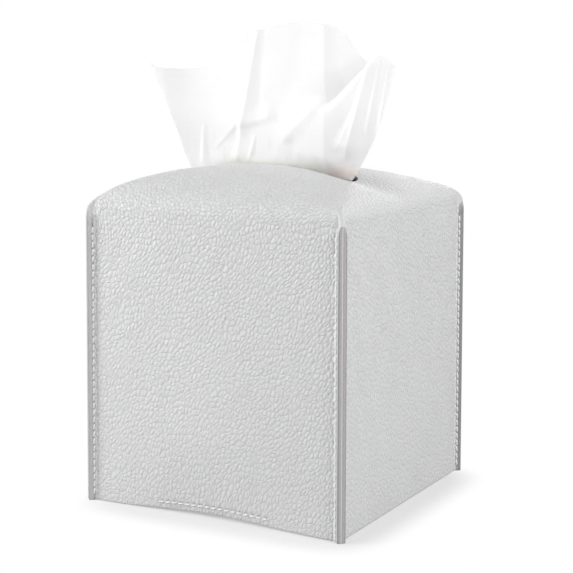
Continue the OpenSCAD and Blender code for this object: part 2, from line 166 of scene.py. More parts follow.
# Its folds: start and end as shares, how far the crest stands forwards in millimetres, and how far its
# left and right sides reach. A fold opens from its start to its end, and one below zero is a valley.
CREASES = [
    (-0.59, 0.26, -0.61, -0.06, 1.0, 3, 5),
    (-0.14, 1.00, -0.27, 0.27, 2.5, 20, 8),
    (-0.27, 0.33, -0.31, 0.00, 1.6, 5, 8),
    (0.375, 1.05, 0.40, -0.02, 3.7, 30, 13),
    (0.74, 0.76, 0.38, 0.42, -2.6, 12, 4),
    (0.62, 0.45, 0.49, 0.13, 1.2, 4, 8),
    (0.72, 0.76, 0.55, 0.10, 2.2, 5, 14),
    (0.85, 0.68, 0.78, 0.20, 0.7, 2.5, 4),
    (0.79, 0.76, 0.70, 0.25, 0.6, 2, 4),
    (-0.31, 0.26, -0.03, 0.34, 1.0, 4, 9),
    (-0.03, 0.34, 0.11, 0.17, 0.8, 4, 6),
    (0.36, 0.46, 0.05, 0.15, 1.5, 16, 8),
    (-0.17, 0.19, -0.21, -0.01, 1.2, 2.5, 3.5),
    (-0.51, 0.08, -0.31, 0.29, 0.6, 3, 5),
    (-0.12, 0.51, -0.07, 0.34, 0.6, 2.5, 4),
]

# Painted light and shade on the tissue near the slot: warm light shining through from below at the right,
# and a cool painted shade across the middle. The stretches of z and x over which they come and go, and
# their colours
FOOT_HEIGHTS = ((143.0, 145.0), (145.0, 157.0))
WARM_STRETCH = ((22.0, 30.0), (38.0, 43.0))
FOOT_SHADE_STRETCH = ((-34.0, -22.0), (20.0, 30.0))
WARM_TINT = (0.8, 0.67, 0.6, 1)
FOOT_SHADE_TINT = (0.8, 0.82, 0.72, 1)

# How far the soft crown leans: higher on the left and at the rear
LEAN_LEFT = 2.1
LEAN_BACK = 0.7
# Waves of the walls, which never hang quite flat: height, lengths along x and z, turn between walls
WAVES = [(0.35, 21, 47, 2.1), (0.25, -33, 19, 1.3)]
INNER_WAVE_SHARE = 0.6

# Fineness of the leather's mesh and the straps', and of the crown's levels and arc
WALL_COLUMNS = 168
WALL_RINGS = 172
CROWN_RINGS = 88
INNER_RINGS = 12
STRAP_COLUMNS = 33
HALVINGS = 26
ARC_STEPS = 4000

# Small forms of the seams: rounded edges, fillets, the raw edges' bulge, the groove between the
# layers, and the stitches' dents and pucker
EDGE_R = 0.35
EDGE_STEP = 0.3 * EDGE_R
FILLET_R = 1.6
TANGENT = FILLET_R * math.tan(math.pi / 8)
RAW_BULGE = 0.08
GROOVE_HALF = 0.3
GROOVE_STEP = 0.12
GROOVE_DEPTH = 0.2
ROW_DENT = 0.18
HOLE_DENT = 0.3
PUCKER = 0.12
# The slot's rounded cut edge, as steps away from its outline and down, and its inner side's, which rise
LIP_STEPS = [(0.8, 0), (EDGE_R, 0), (EDGE_STEP, EDGE_STEP), (0, EDGE_R)]
INNER_LIP_STEPS = [(0, 0.3), (0.3, 0)]

# Pebbles: width, length over width on the walls, lean, height, and the share of it in the mesh
PEBBLE = 1.85
PEBBLE_STRETCH = 1.3
PEBBLE_LEAN = 0.3
PEBBLE_H = 0.25
RAISED_SHARE = 0.4
MEAN_HEIGHT = 0.6
# Their strength on each wall, at the hem and seams' tops, and from the crown's front left to rear right
WALL_RELIEFS = [1, 1.35, 1, 1.1]
HEM_RELIEF = 0.95
TOP_RELIEF = 1.3
CROWN_RELIEFS = (1.8, 1.0)
STRAP_RELIEF = 0.8

# Kinds of surface across half a seam and the tone of each, where the fillet's is raised as painted light
# against its shade; how dark each seam's margin is past its stitches, the rear right's by painted shade;
# the straps' tone; and how dark the painted shade round the hem's stitches is and how far over them it
# lies
SEAM_KINDS = range(5)
FILLET, FACE, EDGE, RAW, GROOVE = SEAM_KINDS
SEAM_TONES_AND_LIGHT = [1.1, 1.0, 0.7, 0.97, 1.6]
MARGIN_SHADES = [0.78, 0.42, 0.7, 0.82]
STRAP_TONE = 0.96
HEM_SHADE = 0.45
HEM_SHADE_RISE = 0.7

# Camera, for an image of 573 by 573 pixels: angles in degrees, and how far the aim lies from the axis
IMAGE_PX = 573
FOCAL_PX = 1504.6
SENSOR_W = 36
VIEW_AZIMUTH = 28.65
VIEW_ELEVATION = 8.95
VIEW_ROLL = 0.178
VIEW_DISTANCE = 697.4
AIM_Z = 68.5
AIM_RIGHT = 2.5
AIM_UP = 25.17

# Lamps: azimuth and elevation in degrees, size and distance in metres, and share of full white
LAMPS = {
    "left_key": (-57, 17, 0.5, 0.95, 0.82),
    "right_key": (76, 31, 0.6, 1.1, 0.6),
    "rear_fill": (190, 14, 0.5, 1.3, 0.22),
}
LAMP_AIM_Z = 0.08
WORLD_LEVEL = 0.4

# Floor: half its width, its place under the hem, and where its shadow fades out. Then the grey that it
# gives back to the object, the grey it shows the camera, and its own light there.
FLOOR_HALF = 4000
FLOOR_DROP = 0.02
SHADOW_SHIFT = 6.0
SHADOW_REACH = 17
BOUNCE_GREY = (0.6, 0.6, 0.6, 1)
SHOWN_GREY = (0.4, 0.4, 0.4, 1)
GLOW_LEVEL = 0.42


def mix(a, b, t):
    return a + (b - a) * t


def smooth(t):
    t = np.clip(t, 0, 1)
    return t * t * (3 - 2 * t)


def bell(x, width):
    return np.exp(-((x / width) ** 2))


def at(*coordinates):
    """Points from arrays of their coordinates."""
    return np.stack(coordinates, -1)


def raised(xy, z):
    """Places in plan as points at a height."""
    return np.concatenate([xy, np.broadcast_to(z, xy.shape[:-1])[..., None]], -1)


def spline(values, t):
    """Smooth curve through evenly spaced values."""
    v = np.asarray(values, float)
    n = len(v) - 1
    i = np.minimum(np.floor(t).astype(int), n - 1)
    f = t - i
    a, b, c, d = v[np.maximum(i - 1, 0)], v[i], v[i + 1], v[np.minimum(i + 2, n)]
    square = (2 * a - 5 * b + 4 * c - d) / 2
    cube = (3 * b - 3 * c + d - a) / 2
    return b + f * (c - a) / 2 + f**2 * square + f**3 * cube


def spin(xy, k):
    """Quarter turns about the middle."""
    c, s = [(1, 0), (0, 1), (-1, 0), (0, -1)][k % 4]
    return at(xy[..., 0] * c - xy[..., 1] * s, xy[..., 0] * s + xy[..., 1] * c)


def on_diagonal(along, across):
    return at(along + across, across - along) / ROOT2


def direction(azimuth, elevation):
    """Unit vector from the object towards a lamp or camera, from angles in degrees."""
    azimuth, elevation = math.radians(azimuth), math.radians(elevation)
    level_part = math.cos(elevation)
    return Vector((math.sin(azimuth) * level_part, -math.cos(azimuth) * level_part, math.sin(elevation)))


def grid_faces(rows, cols, closed_rows=False, closed_cols=False, first=0):
    """Quads between neighbouring rows and columns of a grid of points."""
    last_row = rows if closed_rows else rows - 1
    last_col = cols if closed_cols else cols - 1
    i, j = np.meshgrid(np.arange(last_row), np.arange(last_col), indexing="ij")
    i2, j2 = (i + 1) % rows, (j + 1) % cols
    quads = at(i * cols + j, i * cols + j2, i2 * cols + j2, i2 * cols + j)
    return quads.reshape(-1, 4) + first


def sheet_faces(rows, cols):
    """Faces of a thin closed sheet: its front, its back, whose points follow the front's, and its rim."""
    count = rows * cols
    last = count - cols
    loop = list(range(cols)) + list(range(2 * cols - 1, count, cols))
    loop += list(range(count - 2, last - 1, -1)) + list(range(last - cols, 0, -cols))
    front = [list(f) for f in grid_faces(rows, cols)]
    back = [list(f)[::-1] for f in grid_faces(rows, cols, first=count)]
    rim = [[a, a + count, b + count, b] for a, b in zip(loop[-1:] + loop, loop)]
    return front, back, rim


def capped_faces(rows, cols):
    """Faces of a closed tube: its side, row by row, and a cap at each end."""
    side = [list(f) for f in grid_faces(rows, cols, closed_cols=True)]
    last = (rows - 1) * cols
    return side + [list(range(cols))[::-1], list(range(last, last + cols))]


def make_object(name, data):
    made = bpy.data.objects.new(name, data)
    bpy.context.scene.collection.objects.link(made)
    return made


def make_piece(name, points, faces, materials, kinds=None, sharp=None):
    """A mesh object from points in millimetres. kinds gives each face's material by number."""
    mesh = bpy.data.meshes.new(name)
    places = np.asarray(points, float).reshape(-1, 3) * MM
    mesh.from_pydata(places.tolist(), [], [list(f) for f in faces])
    for material in materials:
        mesh.materials.append(material)
    if kinds is not None:
        mesh.polygons.foreach_set("material_index", np.asarray(kinds, np.int32))
    mesh.polygons.foreach_set("use_smooth", np.ones(len(mesh.polygons), bool))
    if sharp is not None:
        mesh.set_sharp_from_angle(angle=math.radians(sharp))
    mesh.update()
    return make_object(name, mesh)


def set_values(piece, name, values, kind="FLOAT"):
    """Stores a value, or a vector, at each point of a piece."""
    field = "vector" if kind == "FLOAT_VECTOR" else "value"
    made = piece.data.attributes.new(name, kind, "POINT")
    made.data.foreach_set(field, np.asarray(values, np.float32).ravel())


def add(tree, kind, inputs=None, **settings):
    """A node with its settings, and its inputs set to a value or linked to a socket."""
    made = tree.nodes.new(kind)
    for key, value in settings.items():
        setattr(made, key, value)
    for key, value in (inputs or {}).items():
        if isinstance(value, bpy.types.NodeSocket):
            tree.links.new(value, made.inputs[key])
        else:
            made.inputs[key].default_value = value
    return made


def math_node(tree, operation, a, b=0.0):
    return add(tree, "ShaderNodeMath", {0: a, 1: b}, operation=operation).outputs[0]


def product(tree, *factors):
    whole = factors[0]
    for factor in factors[1:]:
        whole = math_node(tree, "MULTIPLY", whole, factor)
    return whole


def vector_node(tree, operation, inputs):
    return add(tree, "ShaderNodeVectorMath", inputs, operation=operation).outputs[0]


def ramp(tree, value, low, high, to_low=0.0, to_high=1.0):
    """value from low to high becomes to_low to to_high, smoothly and held at the ends."""
    inputs = {"Value": value, "From Min": low, "From Max": high, "To Min": to_low, "To Max": to_high}
    return add(tree, "ShaderNodeMapRange", inputs, interpolation_type="SMOOTHSTEP").outputs["Result"]


def band(tree, value, rise, fall):
    """1 between two stretches of a value, over which it comes up from 0 and goes back to 0."""
    return product(tree, ramp(tree, value, *rise), ramp(tree, value, *fall, 1.0, 0.0))


def noise_node(tree, place, per_mm, detail=3.0, roughness=0.5, output="Fac"):
    inputs = {"Vector": place, "Scale": per_mm, "Detail": detail, "Roughness": roughness}
    return add(tree, "ShaderNodeTexNoise", inputs).outputs[output]


def wandering(tree, place, per_mm, reach):
    """place, moved by up to about half of reach by a smooth noise."""
    drift = noise_node(tree, place, per_mm, detail=1.0, output="Color")
    centred = vector_node(tree, "SUBTRACT", {0: drift, 1: (0.5, 0.5, 0.5)})
    moved_by = vector_node(tree, "SCALE", {0: centred, "Scale": reach})
    return vector_node(tree, "ADD", {0: place, 1: moved_by})


def pebble_height(tree, place):
    """Height from 0 in the creases to 1 on the pebbles, from a place on the flat blank in millimetres."""
    place = wandering(tree, place, per_mm=0.07, reach=4.0)
    place = wandering(tree, place, per_mm=0.4, reach=0.6)
    inputs = {"Vector": place, "Scale": 1 / PEBBLE, "Randomness": 1.0}
    cells = add(tree, "ShaderNodeTexVoronoi", inputs, voronoi_dimensions="2D", feature="F1")
    edges = add(tree, "ShaderNodeTexVoronoi", inputs, voronoi_dimensions="2D", feature="DISTANCE_TO_EDGE")
    dome = ramp(tree, cells.outputs["Distance"], 0.0, 0.8, 0.5, 0.0)
    crease = ramp(tree, edges.outputs["Distance"], 0.0, 0.22, 0.0, 0.5)
    uneven = ramp(tree, noise_node(tree, place, per_mm=0.4, detail=1.0), 0.35, 0.65, 0.7, 1.0)
    return product(tree, math_node(tree, "ADD", dome, crease), uneven)


def new_material(name, colour, roughness, sheen=0.0, **sockets):
    """A material with its Principled shader's uniform values set."""
    material = bpy.data.materials.new(name)
    material.use_nodes = True
    shader = material.node_tree.nodes["Principled BSDF"]
    shader.inputs["Base Color"].default_value = (*colour, 1)
    shader.inputs["Roughness"].default_value = roughness
    shader.inputs["Sheen Weight"].default_value = sheen
    for key, value in sockets.items():
        shader.inputs[key].default_value = value
    return material, material.node_tree, shader


def tinted(tree, shader, colour, factor):
    """Links the shader's colour to colour times factor, and gives that colour."""
    grey = add(tree, "ShaderNodeCombineColor", {"Red": factor, "Green": factor, "Blue": factor})
    inputs = {0: 1.0, 6: (*colour, 1), 7: grey.outputs[0]}
    mixed = add(tree, "ShaderNodeMix", inputs, data_type="RGBA", blend_type="MULTIPLY").outputs[2]
    tree.links.new(mixed, shader.inputs["Base Color"])
    return mixed


def bump(tree, shader, height, distance, strength=1.0, below=None):
    """Links a bump of that real height in millimetres, on top of the one below."""
    inputs = {"Height": height, "Distance": distance * MM, "Strength": strength}
    if below is not None:
        inputs["Normal"] = below
    normal = add(tree, "ShaderNodeBump", inputs).outputs["Normal"]
    tree.links.new(normal, shader.inputs["Normal"])
    return normal


def point_value(tree, name, output="Fac"):
    return add(tree, "ShaderNodeAttribute", attribute_name=name).outputs[output]


def position(tree):
    """Place on the object in millimetres."""
    place = add(tree, "ShaderNodeTexCoord").outputs["Object"]
    return vector_node(tree, "SCALE", {0: place, "Scale": 1 / MM})


def fibres(per_mm, detail, roughness=0.7):
    """Pattern of short fibres or crinkles."""
    return lambda tree: noise_node(tree, position(tree), per_mm, detail, roughness)


def knit(tree):
    """Pattern of small knitted loops."""
    return add(tree, "ShaderNodeTexVoronoi", {"Vector": position(tree), "Scale": 1.4}).outputs["Distance"]


def plies(tree):
    """Pattern of a twisted thread's plies, which wind round each stitch."""
    return math_node(tree, "ABSOLUTE", math_node(tree, "SINE", point_value(tree, "ply")))


def weave(per_mm):
    """Pattern of a tape woven on the slant."""
    def pattern(tree):
        inputs = {"Vector": position(tree), "Scale": per_mm, "Distortion": 0.6}
        return add(tree, "ShaderNodeTexWave", inputs, bands_direction="DIAGONAL").outputs["Fac"]
    return pattern


def patterned(name, colour, roughness, pattern, shades, depth, strength=1.0, toned=False, **sockets):
    """A material that a pattern tints, by a ramp with these shades, and raises by depth in millimetres."""
    material, tree, shader = new_material(name, colour, roughness, **sockets)
    height = pattern(tree)
    shade = ramp(tree, height, *shades)
    tinted(tree, shader, colour, product(tree, shade, point_value(tree, "tone_and_shade")) if toned else shade)
    bump(tree, shader, height, depth, strength)
    return material


def leather_material():
    """Grey coat with raised pebbles, with painted shade in their creases, and fine pores."""
    colour = (0.678, 0.678, 0.686)
    material, tree, shader = new_material("pebbled_leather", colour, roughness=0.5, IOR=1.45)
    place = point_value(tree, "grain", "Vector")
    height = product(tree, pebble_height(tree, place), point_value(tree, "relief"))
    pores = noise_node(tree, place, per_mm=1.6, detail=3.0, roughness=0.65)
    # Painted shade: the colour darkens in the pebbles' creases, and the point tones bring the seams' and
    # hem stitches' painted light and shade
    crease = ramp(tree, height, 0.1, 0.6, 0.92, 1.0)
    cloud = ramp(tree, noise_node(tree, place, per_mm=0.03, detail=2.0), 0.2, 0.8, 0.985, 1.01)
    tinted(tree, shader, colour, product(tree, crease, cloud, point_value(tree, "tone_and_shade")))
    tree.links.new(ramp(tree, height, 0.0, 1.0, 0.62, 0.47), shader.inputs["Roughness"])
    below = bump(tree, shader, pores, distance=0.05, strength=0.9)
    bump(tree, shader, height, distance=PEBBLE_H, below=below)
    return material


def cut_edge_material():
    """Cut edge of the leather: fibres between its coat and its pale backing."""
    return patterned("cut_edge", (0.46, 0.445, 0.45), 0.85, fibres(per_mm=2.4, detail=4.0),
                     shades=(0.25, 0.75, 0.82, 1.12), depth=0.12, toned=True)


def lining_material():
    """Knitted backing on the inner side of the leather."""
    return patterned("knitted_backing", (0.66, 0.655, 0.645), 0.95, knit,
                     shades=(0.0, 0.9, 1.05, 0.86), depth=0.12, strength=0.8, sheen=0.3)


def thread_material(name, colour):
    return patterned(name, colour, 0.55, plies, shades=(0.0, 0.7, 0.72, 1.0), depth=0.08, sheen=0.4)


def tape_material(name, colour, per_mm):
    """Woven tape under hooks or loops."""
    return patterned(name, colour, 0.7, weave(per_mm),
                     shades=(0.0, 1.0, 0.8, 1.05), depth=0.08, sheen=0.25)


def board_material():
    """Coated white paperboard with faint fibres."""
    return patterned("paperboard", (0.8, 0.79, 0.76), 0.6, fibres(per_mm=0.8, detail=5.0),
                     shades=(0.3, 0.7, 0.95, 1.03), depth=0.03)


def film_material():
    """Thin clear film, slightly crinkled."""
    crinkles = fibres(per_mm=0.09, detail=3.0, roughness=0.5)
    return patterned("window_film", (0.93, 0.95, 0.97), 0.12, crinkles,
                     shades=(0.3, 0.7, 0.94, 1.0), depth=0.4, Alpha=0.35)


def foot_light_and_shade(tree, place, colour):
    """colour, with painted light and shade near the slot: warm light shining through from below at the
    right, and a cool painted shade across the middle.
    """
    x, _, z = add(tree, "ShaderNodeSeparateXYZ", {0: place}).outputs
    flat = vector_node(tree, "MULTIPLY", {0: place, 1: (0.12, 0.12, 0.9)})
    streaks = ramp(tree, noise_node(tree, flat, per_mm=1.0), 0.35, 0.65, 0.3, 0.85)
    low = band(tree, z, *FOOT_HEIGHTS)
    # Painted light shining through at the right, and painted shade across the middle
    warm = product(tree, low, band(tree, x, *WARM_STRETCH), streaks)
    foot_shade = product(tree, low, band(tree, x, *FOOT_SHADE_STRETCH), 0.9)
    for share, tint in [(warm, WARM_TINT), (foot_shade, FOOT_SHADE_TINT)]:
        colour = add(tree, "ShaderNodeMix", {0: share, 6: colour, 7: tint}, data_type="RGBA").outputs[2]
    return colour


def tissue_material():
    """Soft two-ply paper: diffuse, finely creped, and it lets a little light through, with painted shade
    on its left flap and low down.
    """
    colour = (0.98, 0.98, 0.98)
    material, tree, shader = new_material("tissue_paper", colour, roughness=0.95, sheen=0.1)
    place = position(tree)
    x, _, z = add(tree, "ShaderNodeSeparateXYZ", {0: place}).outputs
    crepe = noise_node(tree, place, per_mm=0.9, detail=5.0, roughness=0.7)
    # Painted shade: the left flap darker, and the sheet darker low down near the slot
    corner = ramp(tree, x, -52.0, -38.0, 0.94, 1.0)
    deep = ramp(tree, z, 160.0, 178.0, 0.93, 1.0)
    shade = product(tree, corner, deep, ramp(tree, crepe, 0.3, 0.7, 0.97, 1.0))
    plain = tinted(tree, shader, colour, shade)
    tree.links.new(foot_light_and_shade(tree, place, plain), shader.inputs["Base Color"])
    bump(tree, shader, crepe, distance=0.12, strength=0.6)
    through = add(tree, "ShaderNodeBsdfTranslucent", {"Color": WHITE})
    both = add(tree, "ShaderNodeMixShader", {0: 0.08, 1: shader.outputs[0], 2: through.outputs[0]})
    tree.links.new(both.outputs[0], tree.nodes["Material Output"].inputs["Surface"])
    return material


LEATHER = leather_material()
CUT_EDGE = cut_edge_material()
LINING = lining_material()
HIDE = [LEATHER, CUT_EDGE, LINING]
COAT_SIDE, CUT_SIDE, LINING_SIDE = range(3)
WHITE_THREAD = thread_material("white_thread", (0.86, 0.86, 0.85))
FINE_THREAD = thread_material("fine_thread", (0.6, 0.6, 0.6))
HOOK_TAPE = tape_material("hook_tape", (0.62, 0.62, 0.63), 0.9)
LOOP_TAPE = tape_material("loop_tape", (0.66, 0.66, 0.67), 0.7)
BOARD = board_material()
FILM = film_material()
TISSUE = tissue_material()


def half_w(z):
    return COVER_W / 2 + FLARE / 2 * (0.5 - z / SEAM_H)


def hem_share(k, s):
    """How much of the straps' pull a place on a wall's hem takes: the front and rear walls have straps."""
    return np.cos(np.pi / 2 * s) ** 2 if k % 2 == 0 else 0 * s


def pull(k, s, z):
    return HEM_PULL * hem_share(k, s) * np.clip(1 - z / PULL_H, 0, 1) ** 2


def lift(k, s, z):
    return HEM_LIFT * hem_share(k, s) * np.clip(1 - z / PULL_H, 0, 1)


def wave(k, x, z):
    """How far a wall stands out of flat."""
    high = np.sin(np.pi * np.clip(z / SEAM_H, 0, 1))
    across = np.cos(np.pi / 2 * x / (COVER_W / 2))
    total = sum(tall * np.sin(x / along + z / up + turn * k) for tall, along, up, turn in WAVES)
    return high * across * total


def plan_power(q):
    """Power of the crown's outline at a level: round in the middle, almost square at the walls."""
    rounded = np.minimum(SQUARE_POWER, 2 + CROWN_ROUND * q**3 / np.maximum(1 - q, 1e-9))
    return np.where(q > 0.999, SQUARE_POWER, rounded)


def plan_norm(u, v, power):
    most = np.maximum(np.maximum(u, v), 1e-12)
    return most * (1 + (np.minimum(u, v) / most) ** power) ** (1 / power)


def level(u, v):
    """1 on the wall's outline and 0 in the middle, by halving the range."""
    low, high = np.zeros_like(u), np.ones_like(u)
    for _ in range(HALVINGS):
        q = (low + high) / 2
        outside = plan_norm(u, v, plan_power(q)) > q
        low, high = np.where(outside, q, low), np.where(outside, high, q)
    return (low + high) / 2


def slot_dip(x, y):
    return SLOT_DIP * bell(np.abs(x) - SLOT_L / 2, 0.23 * SLOT_L) * bell(y, 0.7 * SLOT_W)


def crown_share(q):
    """Height over the seams' tops at a level, as a share of the crown's rise."""
    return np.maximum(0, 1 - q**CROWN_POWER) ** (1 / CROWN_POWER)


def roof(xy, inset=0.0):
    """Height of the crown, and its level, at places in plan."""
    x, y = xy[..., 0], xy[..., 1]
    full = half_w(SEAM_H)
    q = level(np.abs(x) / (full - inset), np.abs(y) / (full - inset))
    inside = smooth((1 - np.maximum(np.abs(x), np.abs(y)) / full) / 0.22)
    lean = (LEAN_BACK * y - LEAN_LEFT * x) / full * inside
    return SEAM_H + (CROWN_RISE - inset) * crown_share(q) - slot_dip(x, y) + lean, q


def sewn_profile():
    """Half a sewn seam from its wall to its middle, one part for each kind of surface. Its offsets run
    along and across the corner's diagonal, from where the planes of wall and sewn layer meet."""
    turn = np.pi / 4 - np.linspace(0, np.pi / 4, 7)[:-1]
    centre = np.array([-TANGENT, -TANGENT]) / ROOT2 + np.array([1, -1]) / ROOT2 * FILLET_R
    fillet = centre - FILLET_R * at(np.sin(turn), -np.cos(turn))
    out = np.linspace(TANGENT, SEAM_MARGIN - EDGE_R, 9)
    bend = np.radians([30, 60, 90])
    edge = at(SEAM_MARGIN - EDGE_R + EDGE_R * np.sin(bend), EDGE_R - EDGE_R * np.cos(bend))
    across = np.linspace(EDGE_R, SEAM_HALF - GROOVE_HALF, 5)[1:]
    raw = at(SEAM_MARGIN + RAW_BULGE * np.sin(np.pi * across / SEAM_HALF), across)
    groove = np.array([[SEAM_MARGIN - GROOVE_STEP, SEAM_HALF - GROOVE_STEP],
                       [SEAM_MARGIN - GROOVE_DEPTH, SEAM_HALF]])
    return [fillet, at(out, 0 * out), edge, raw, groove]


def crest_profile(fillet, face, *rest):
    """The same points on the crest over the seam, where its two layers close into one round edge."""
    nearer = SEAM_HALF - CREST_HALF
    out = np.linspace(TANGENT + nearer, SEAM_MARGIN - CREST_HALF, len(face))
    turn = np.linspace(0, np.pi / 2, sum(len(part) for part in rest) + 1)[1:]
    tip = at(SEAM_MARGIN - CREST_HALF * (1 - np.sin(turn)), -CREST_HALF * np.cos(turn))
    return np.concatenate([fillet + [nearer, -CREST_HALF], at(out, 0 * out - CREST_HALF), tip])


def mirrored(half, sign):
    """A half outline and its mirror image, which share the middle point."""
    return np.concatenate([half, half[-2::-1] * sign])


SEWN_PARTS = sewn_profile()
SEWN = mirrored(np.concatenate(SEWN_PARTS) - [0, SEAM_HALF], [1, -1])
CREST = mirrored(crest_profile(*SEWN_PARTS), [1, -1])
KIND = mirrored(np.repeat(SEAM_KINDS, [len(part) for part in SEWN_PARTS]), 1)
WALL_SHARES = np.linspace(-1, 1, WALL_COLUMNS)
SEAM_COLUMNS = len(SEWN)
CROWD = WALL_COLUMNS + SEAM_COLUMNS


def seam_dents(z):
    """How far the stitches draw the sewn layers together, at each height and column of a seam."""
    row = bell(SEWN[:, 0] - SEAM_ROW, 0.55) * (KIND == FACE)
    phase = (z - ROW_H + (PITCH - STITCH_L) / 2) / PITCH
    holes = bell(phase - np.round(phase), 0.14)
    pucker = PUCKER * (KIND == FILLET) * np.cos(2 * np.pi * phase)[:, None]
    return row * (ROW_DENT + HOLE_DENT * holes[:, None]) + pucker


def outer_corner(a, z, opened):
    """A seam's columns at each height, between its sewn form and its crest."""
    offset = mix(CREST, SEWN, opened[:, None, None])
    dents = seam_dents(z) * opened[:, None] * -np.sign(offset[..., 1])
    return on_diagonal((2 * a - CORNER_IN) / ROOT2 + offset[..., 0], offset[..., 1] + dents)


def inner_corner(a):
    turn = np.linspace(-np.pi / 4, np.pi / 4, SEAM_COLUMNS)
    return on_diagonal((a - INNER_R) * ROOT2 + INNER_R * np.cos(turn), INNER_R * np.sin(turn) + 0 * a)


def wall_rings(z, opened, inset=0.0):
    """Rings of points round the walls and seams. opened is 1 where the raw edges lie apart and 0 at
    the crest. With an inset they are the plain inner side."""
    outer = inset == 0
    a = half_w(z)[:, None] - inset
    high = z[:, None]
    corner_r = mix(CREST_HALF, SEAM_HALF, opened)[:, None] * ROOT2 if outer else INNER_R
    x = WALL_SHARES * (a - corner_r - (TANGENT if outer else 0))
    s = x / (a - corner_r)
    corner = outer_corner(a, z, opened) if outer else inner_corner(a)
    rings = []
    for k in range(4):
        y = pull(k, s, high) - a - (1 if outer else INNER_WAVE_SHARE) * wave(k, x, high)
        rings += [raised(spin(at(x, y), k), high + lift(k, s, high)), raised(spin(corner, k), high)]
    return np.concatenate(rings, 1)


def slot_outline():
    """The slot's outline, met by each column of walls and seams."""
    half, r = SLOT_STRAIGHT, SLOT_W / 2
    fan = np.radians(END_FAN * WALL_SHARES)
    long_side = at(WALL_SHARES * half, 0 * WALL_SHARES - r)
    round_end = at(r * np.sin(fan), -half - r * np.cos(fan))
    parts = []
    for k in range(4):
        turn = np.radians((CORNER_TURN if k % 2 else -CORNER_TURN) + np.linspace(-8, 8, SEAM_COLUMNS))
        corner = at(half + r * np.cos(turn), r * np.sin(turn))
        parts += [spin(round_end if k % 2 else long_side, k), corner if k < 2 else -corner]
    return np.concatenate(parts)


def inward(ring):
    """Unit vectors in plan that point into a ring of points."""
    along = np.roll(ring, -1, 0)[:, :2] - np.roll(ring, 1, 0)[:, :2]
    along /= np.linalg.norm(along, axis=1)[:, None]
    return at(-along[:, 1], along[:, 0])


# Levels from the walls to the slot, and how far the rings have turned into the slot's outline there
RING_SHARES = [1, 0.9975, 0.99, 0.975, 0.95, 0.915, 0.87, 0.8, 0.7, 0.59, 0.48, 0.4]
TURN_SHARES = [0, 0, 0, 0, 0, 0.02, 0.06, 0.16, 0.34, 0.58, 0.8, 0.96]
SLOT = slot_outline()


def crown_arc():
    """Levels down to the crown's middle, and the way gone over its curve to each."""
    q = 1 - np.linspace(0, 1, ARC_STEPS) ** 3
    steps = np.hypot(np.diff(q * half_w(SEAM_H)), np.diff(CROWN_RISE * crown_share(q)))
    return q, np.concatenate([[0], np.cumsum(steps)])


ARC_LEVELS, ARC_GONE = crown_arc()


def gone_at(q):
    return np.interp(q, ARC_LEVELS[::-1], ARC_GONE[::-1])


def crown_ring(base, q, inset=0.0):
    """Ring of the crown at a level. It starts at the seams' crests and ends on the slot's outline."""
    d = np.linalg.norm(base, axis=1)
    u, v = np.abs(base[:, 0]) / d, np.abs(base[:, 1]) / d
    r = q * (half_w(SEAM_H) - inset) / plan_norm(u, v, plan_power(np.asarray(q)))
    turn = np.interp(-q, [-s for s in RING_SHARES], TURN_SHARES)
    xy = mix(base * (r / d)[:, None], SLOT, turn)
    crest = max(0, 1 - (1 - q) / CREST_SHARE) ** 2
    return raised(mix(xy, base * q, crest), roof(xy, inset)[0])


def lip_rings():
    """Rounded cut edge of the slot: rings down from the crown, and those on its inner side."""
    out = -inward(SLOT)

    def ring(away, inset, rise):
        xy = SLOT + out * away
        return raised(xy, roof(xy, inset)[0] + rise)

    return ([ring(away, 0.0, -drop) for away, drop in LIP_STEPS],
            [ring(away, LEATHER_T, rise) for away, rise in INNER_LIP_STEPS])


def blank_places(rings, wall_count):
    """Place of each point on the flat, cross-shaped blank that the cover is cut from."""
    full = half_w(SEAM_H)
    places = np.zeros(rings.shape[:2] + (2,))
    half_seam = SEAM_COLUMNS // 2
    for k in range(4):
        cols = (np.arange(CROWD) + k * CROWD - half_seam) % (4 * CROWD)
        part = rings[:wall_count, cols]
        drop = SEAM_H - part[..., 2]
        lean = PEBBLE_LEAN * drop * smooth(drop / 30) * (1 if k % 2 == 0 else -1)
        plan = spin(part[..., :2], 4 - k) * (ARC_GONE[-1] / full) + at(lean, -drop / PEBBLE_STRETCH)
        places[:wall_count, cols] = spin(plan, k)
    crown = rings[wall_count:, :, :2]
    q = roof(crown)[1]
    places[wall_count:] = crown * ((ARC_GONE[-1] - gone_at(q)) / np.maximum(q * full, 1e-6))[..., None]
    return places


def leather_shell():
    """The cross-cut leather: walls, standing corner seams, crown with its slot, and the inner side."""
    arch_z = SEAM_H - SEAM_ARCH
    closing = np.linspace(0, 1, 9)[1:]
    plain_z = np.linspace(EDGE_R, arch_z, WALL_RINGS)
    z = np.concatenate([[0, EDGE_STEP], plain_z, arch_z + SEAM_ARCH * closing])
    walls = wall_rings(z, np.concatenate([np.ones(2 + WALL_RINGS), 1 - closing**2]))
    for i, inset in enumerate([EDGE_R, EDGE_STEP]):
        walls[i, :, :2] += inward(walls[i]) * inset
    evenly = np.linspace(0, gone_at(RING_SHARES[-1]), CROWN_RINGS + 1)[1:]
    levels = np.interp(evenly, ARC_GONE, ARC_LEVELS)
    crown = [crown_ring(walls[-1][:, :2], q) for q in levels]
    outer_lip, inner_lip = lip_rings()
    inner_walls = wall_rings(np.linspace(SEAM_H, 0, INNER_RINGS), np.zeros(INNER_RINGS), LEATHER_T)
    inner_crown = [crown_ring(inner_walls[0][:, :2], q, LEATHER_T) for q in levels[::-4]]
    outer = np.concatenate([walls, np.stack(crown + outer_lip)])
    rings = np.concatenate([outer, np.stack(inner_lip + inner_crown), inner_walls])
    return rings, len(walls), len(outer)


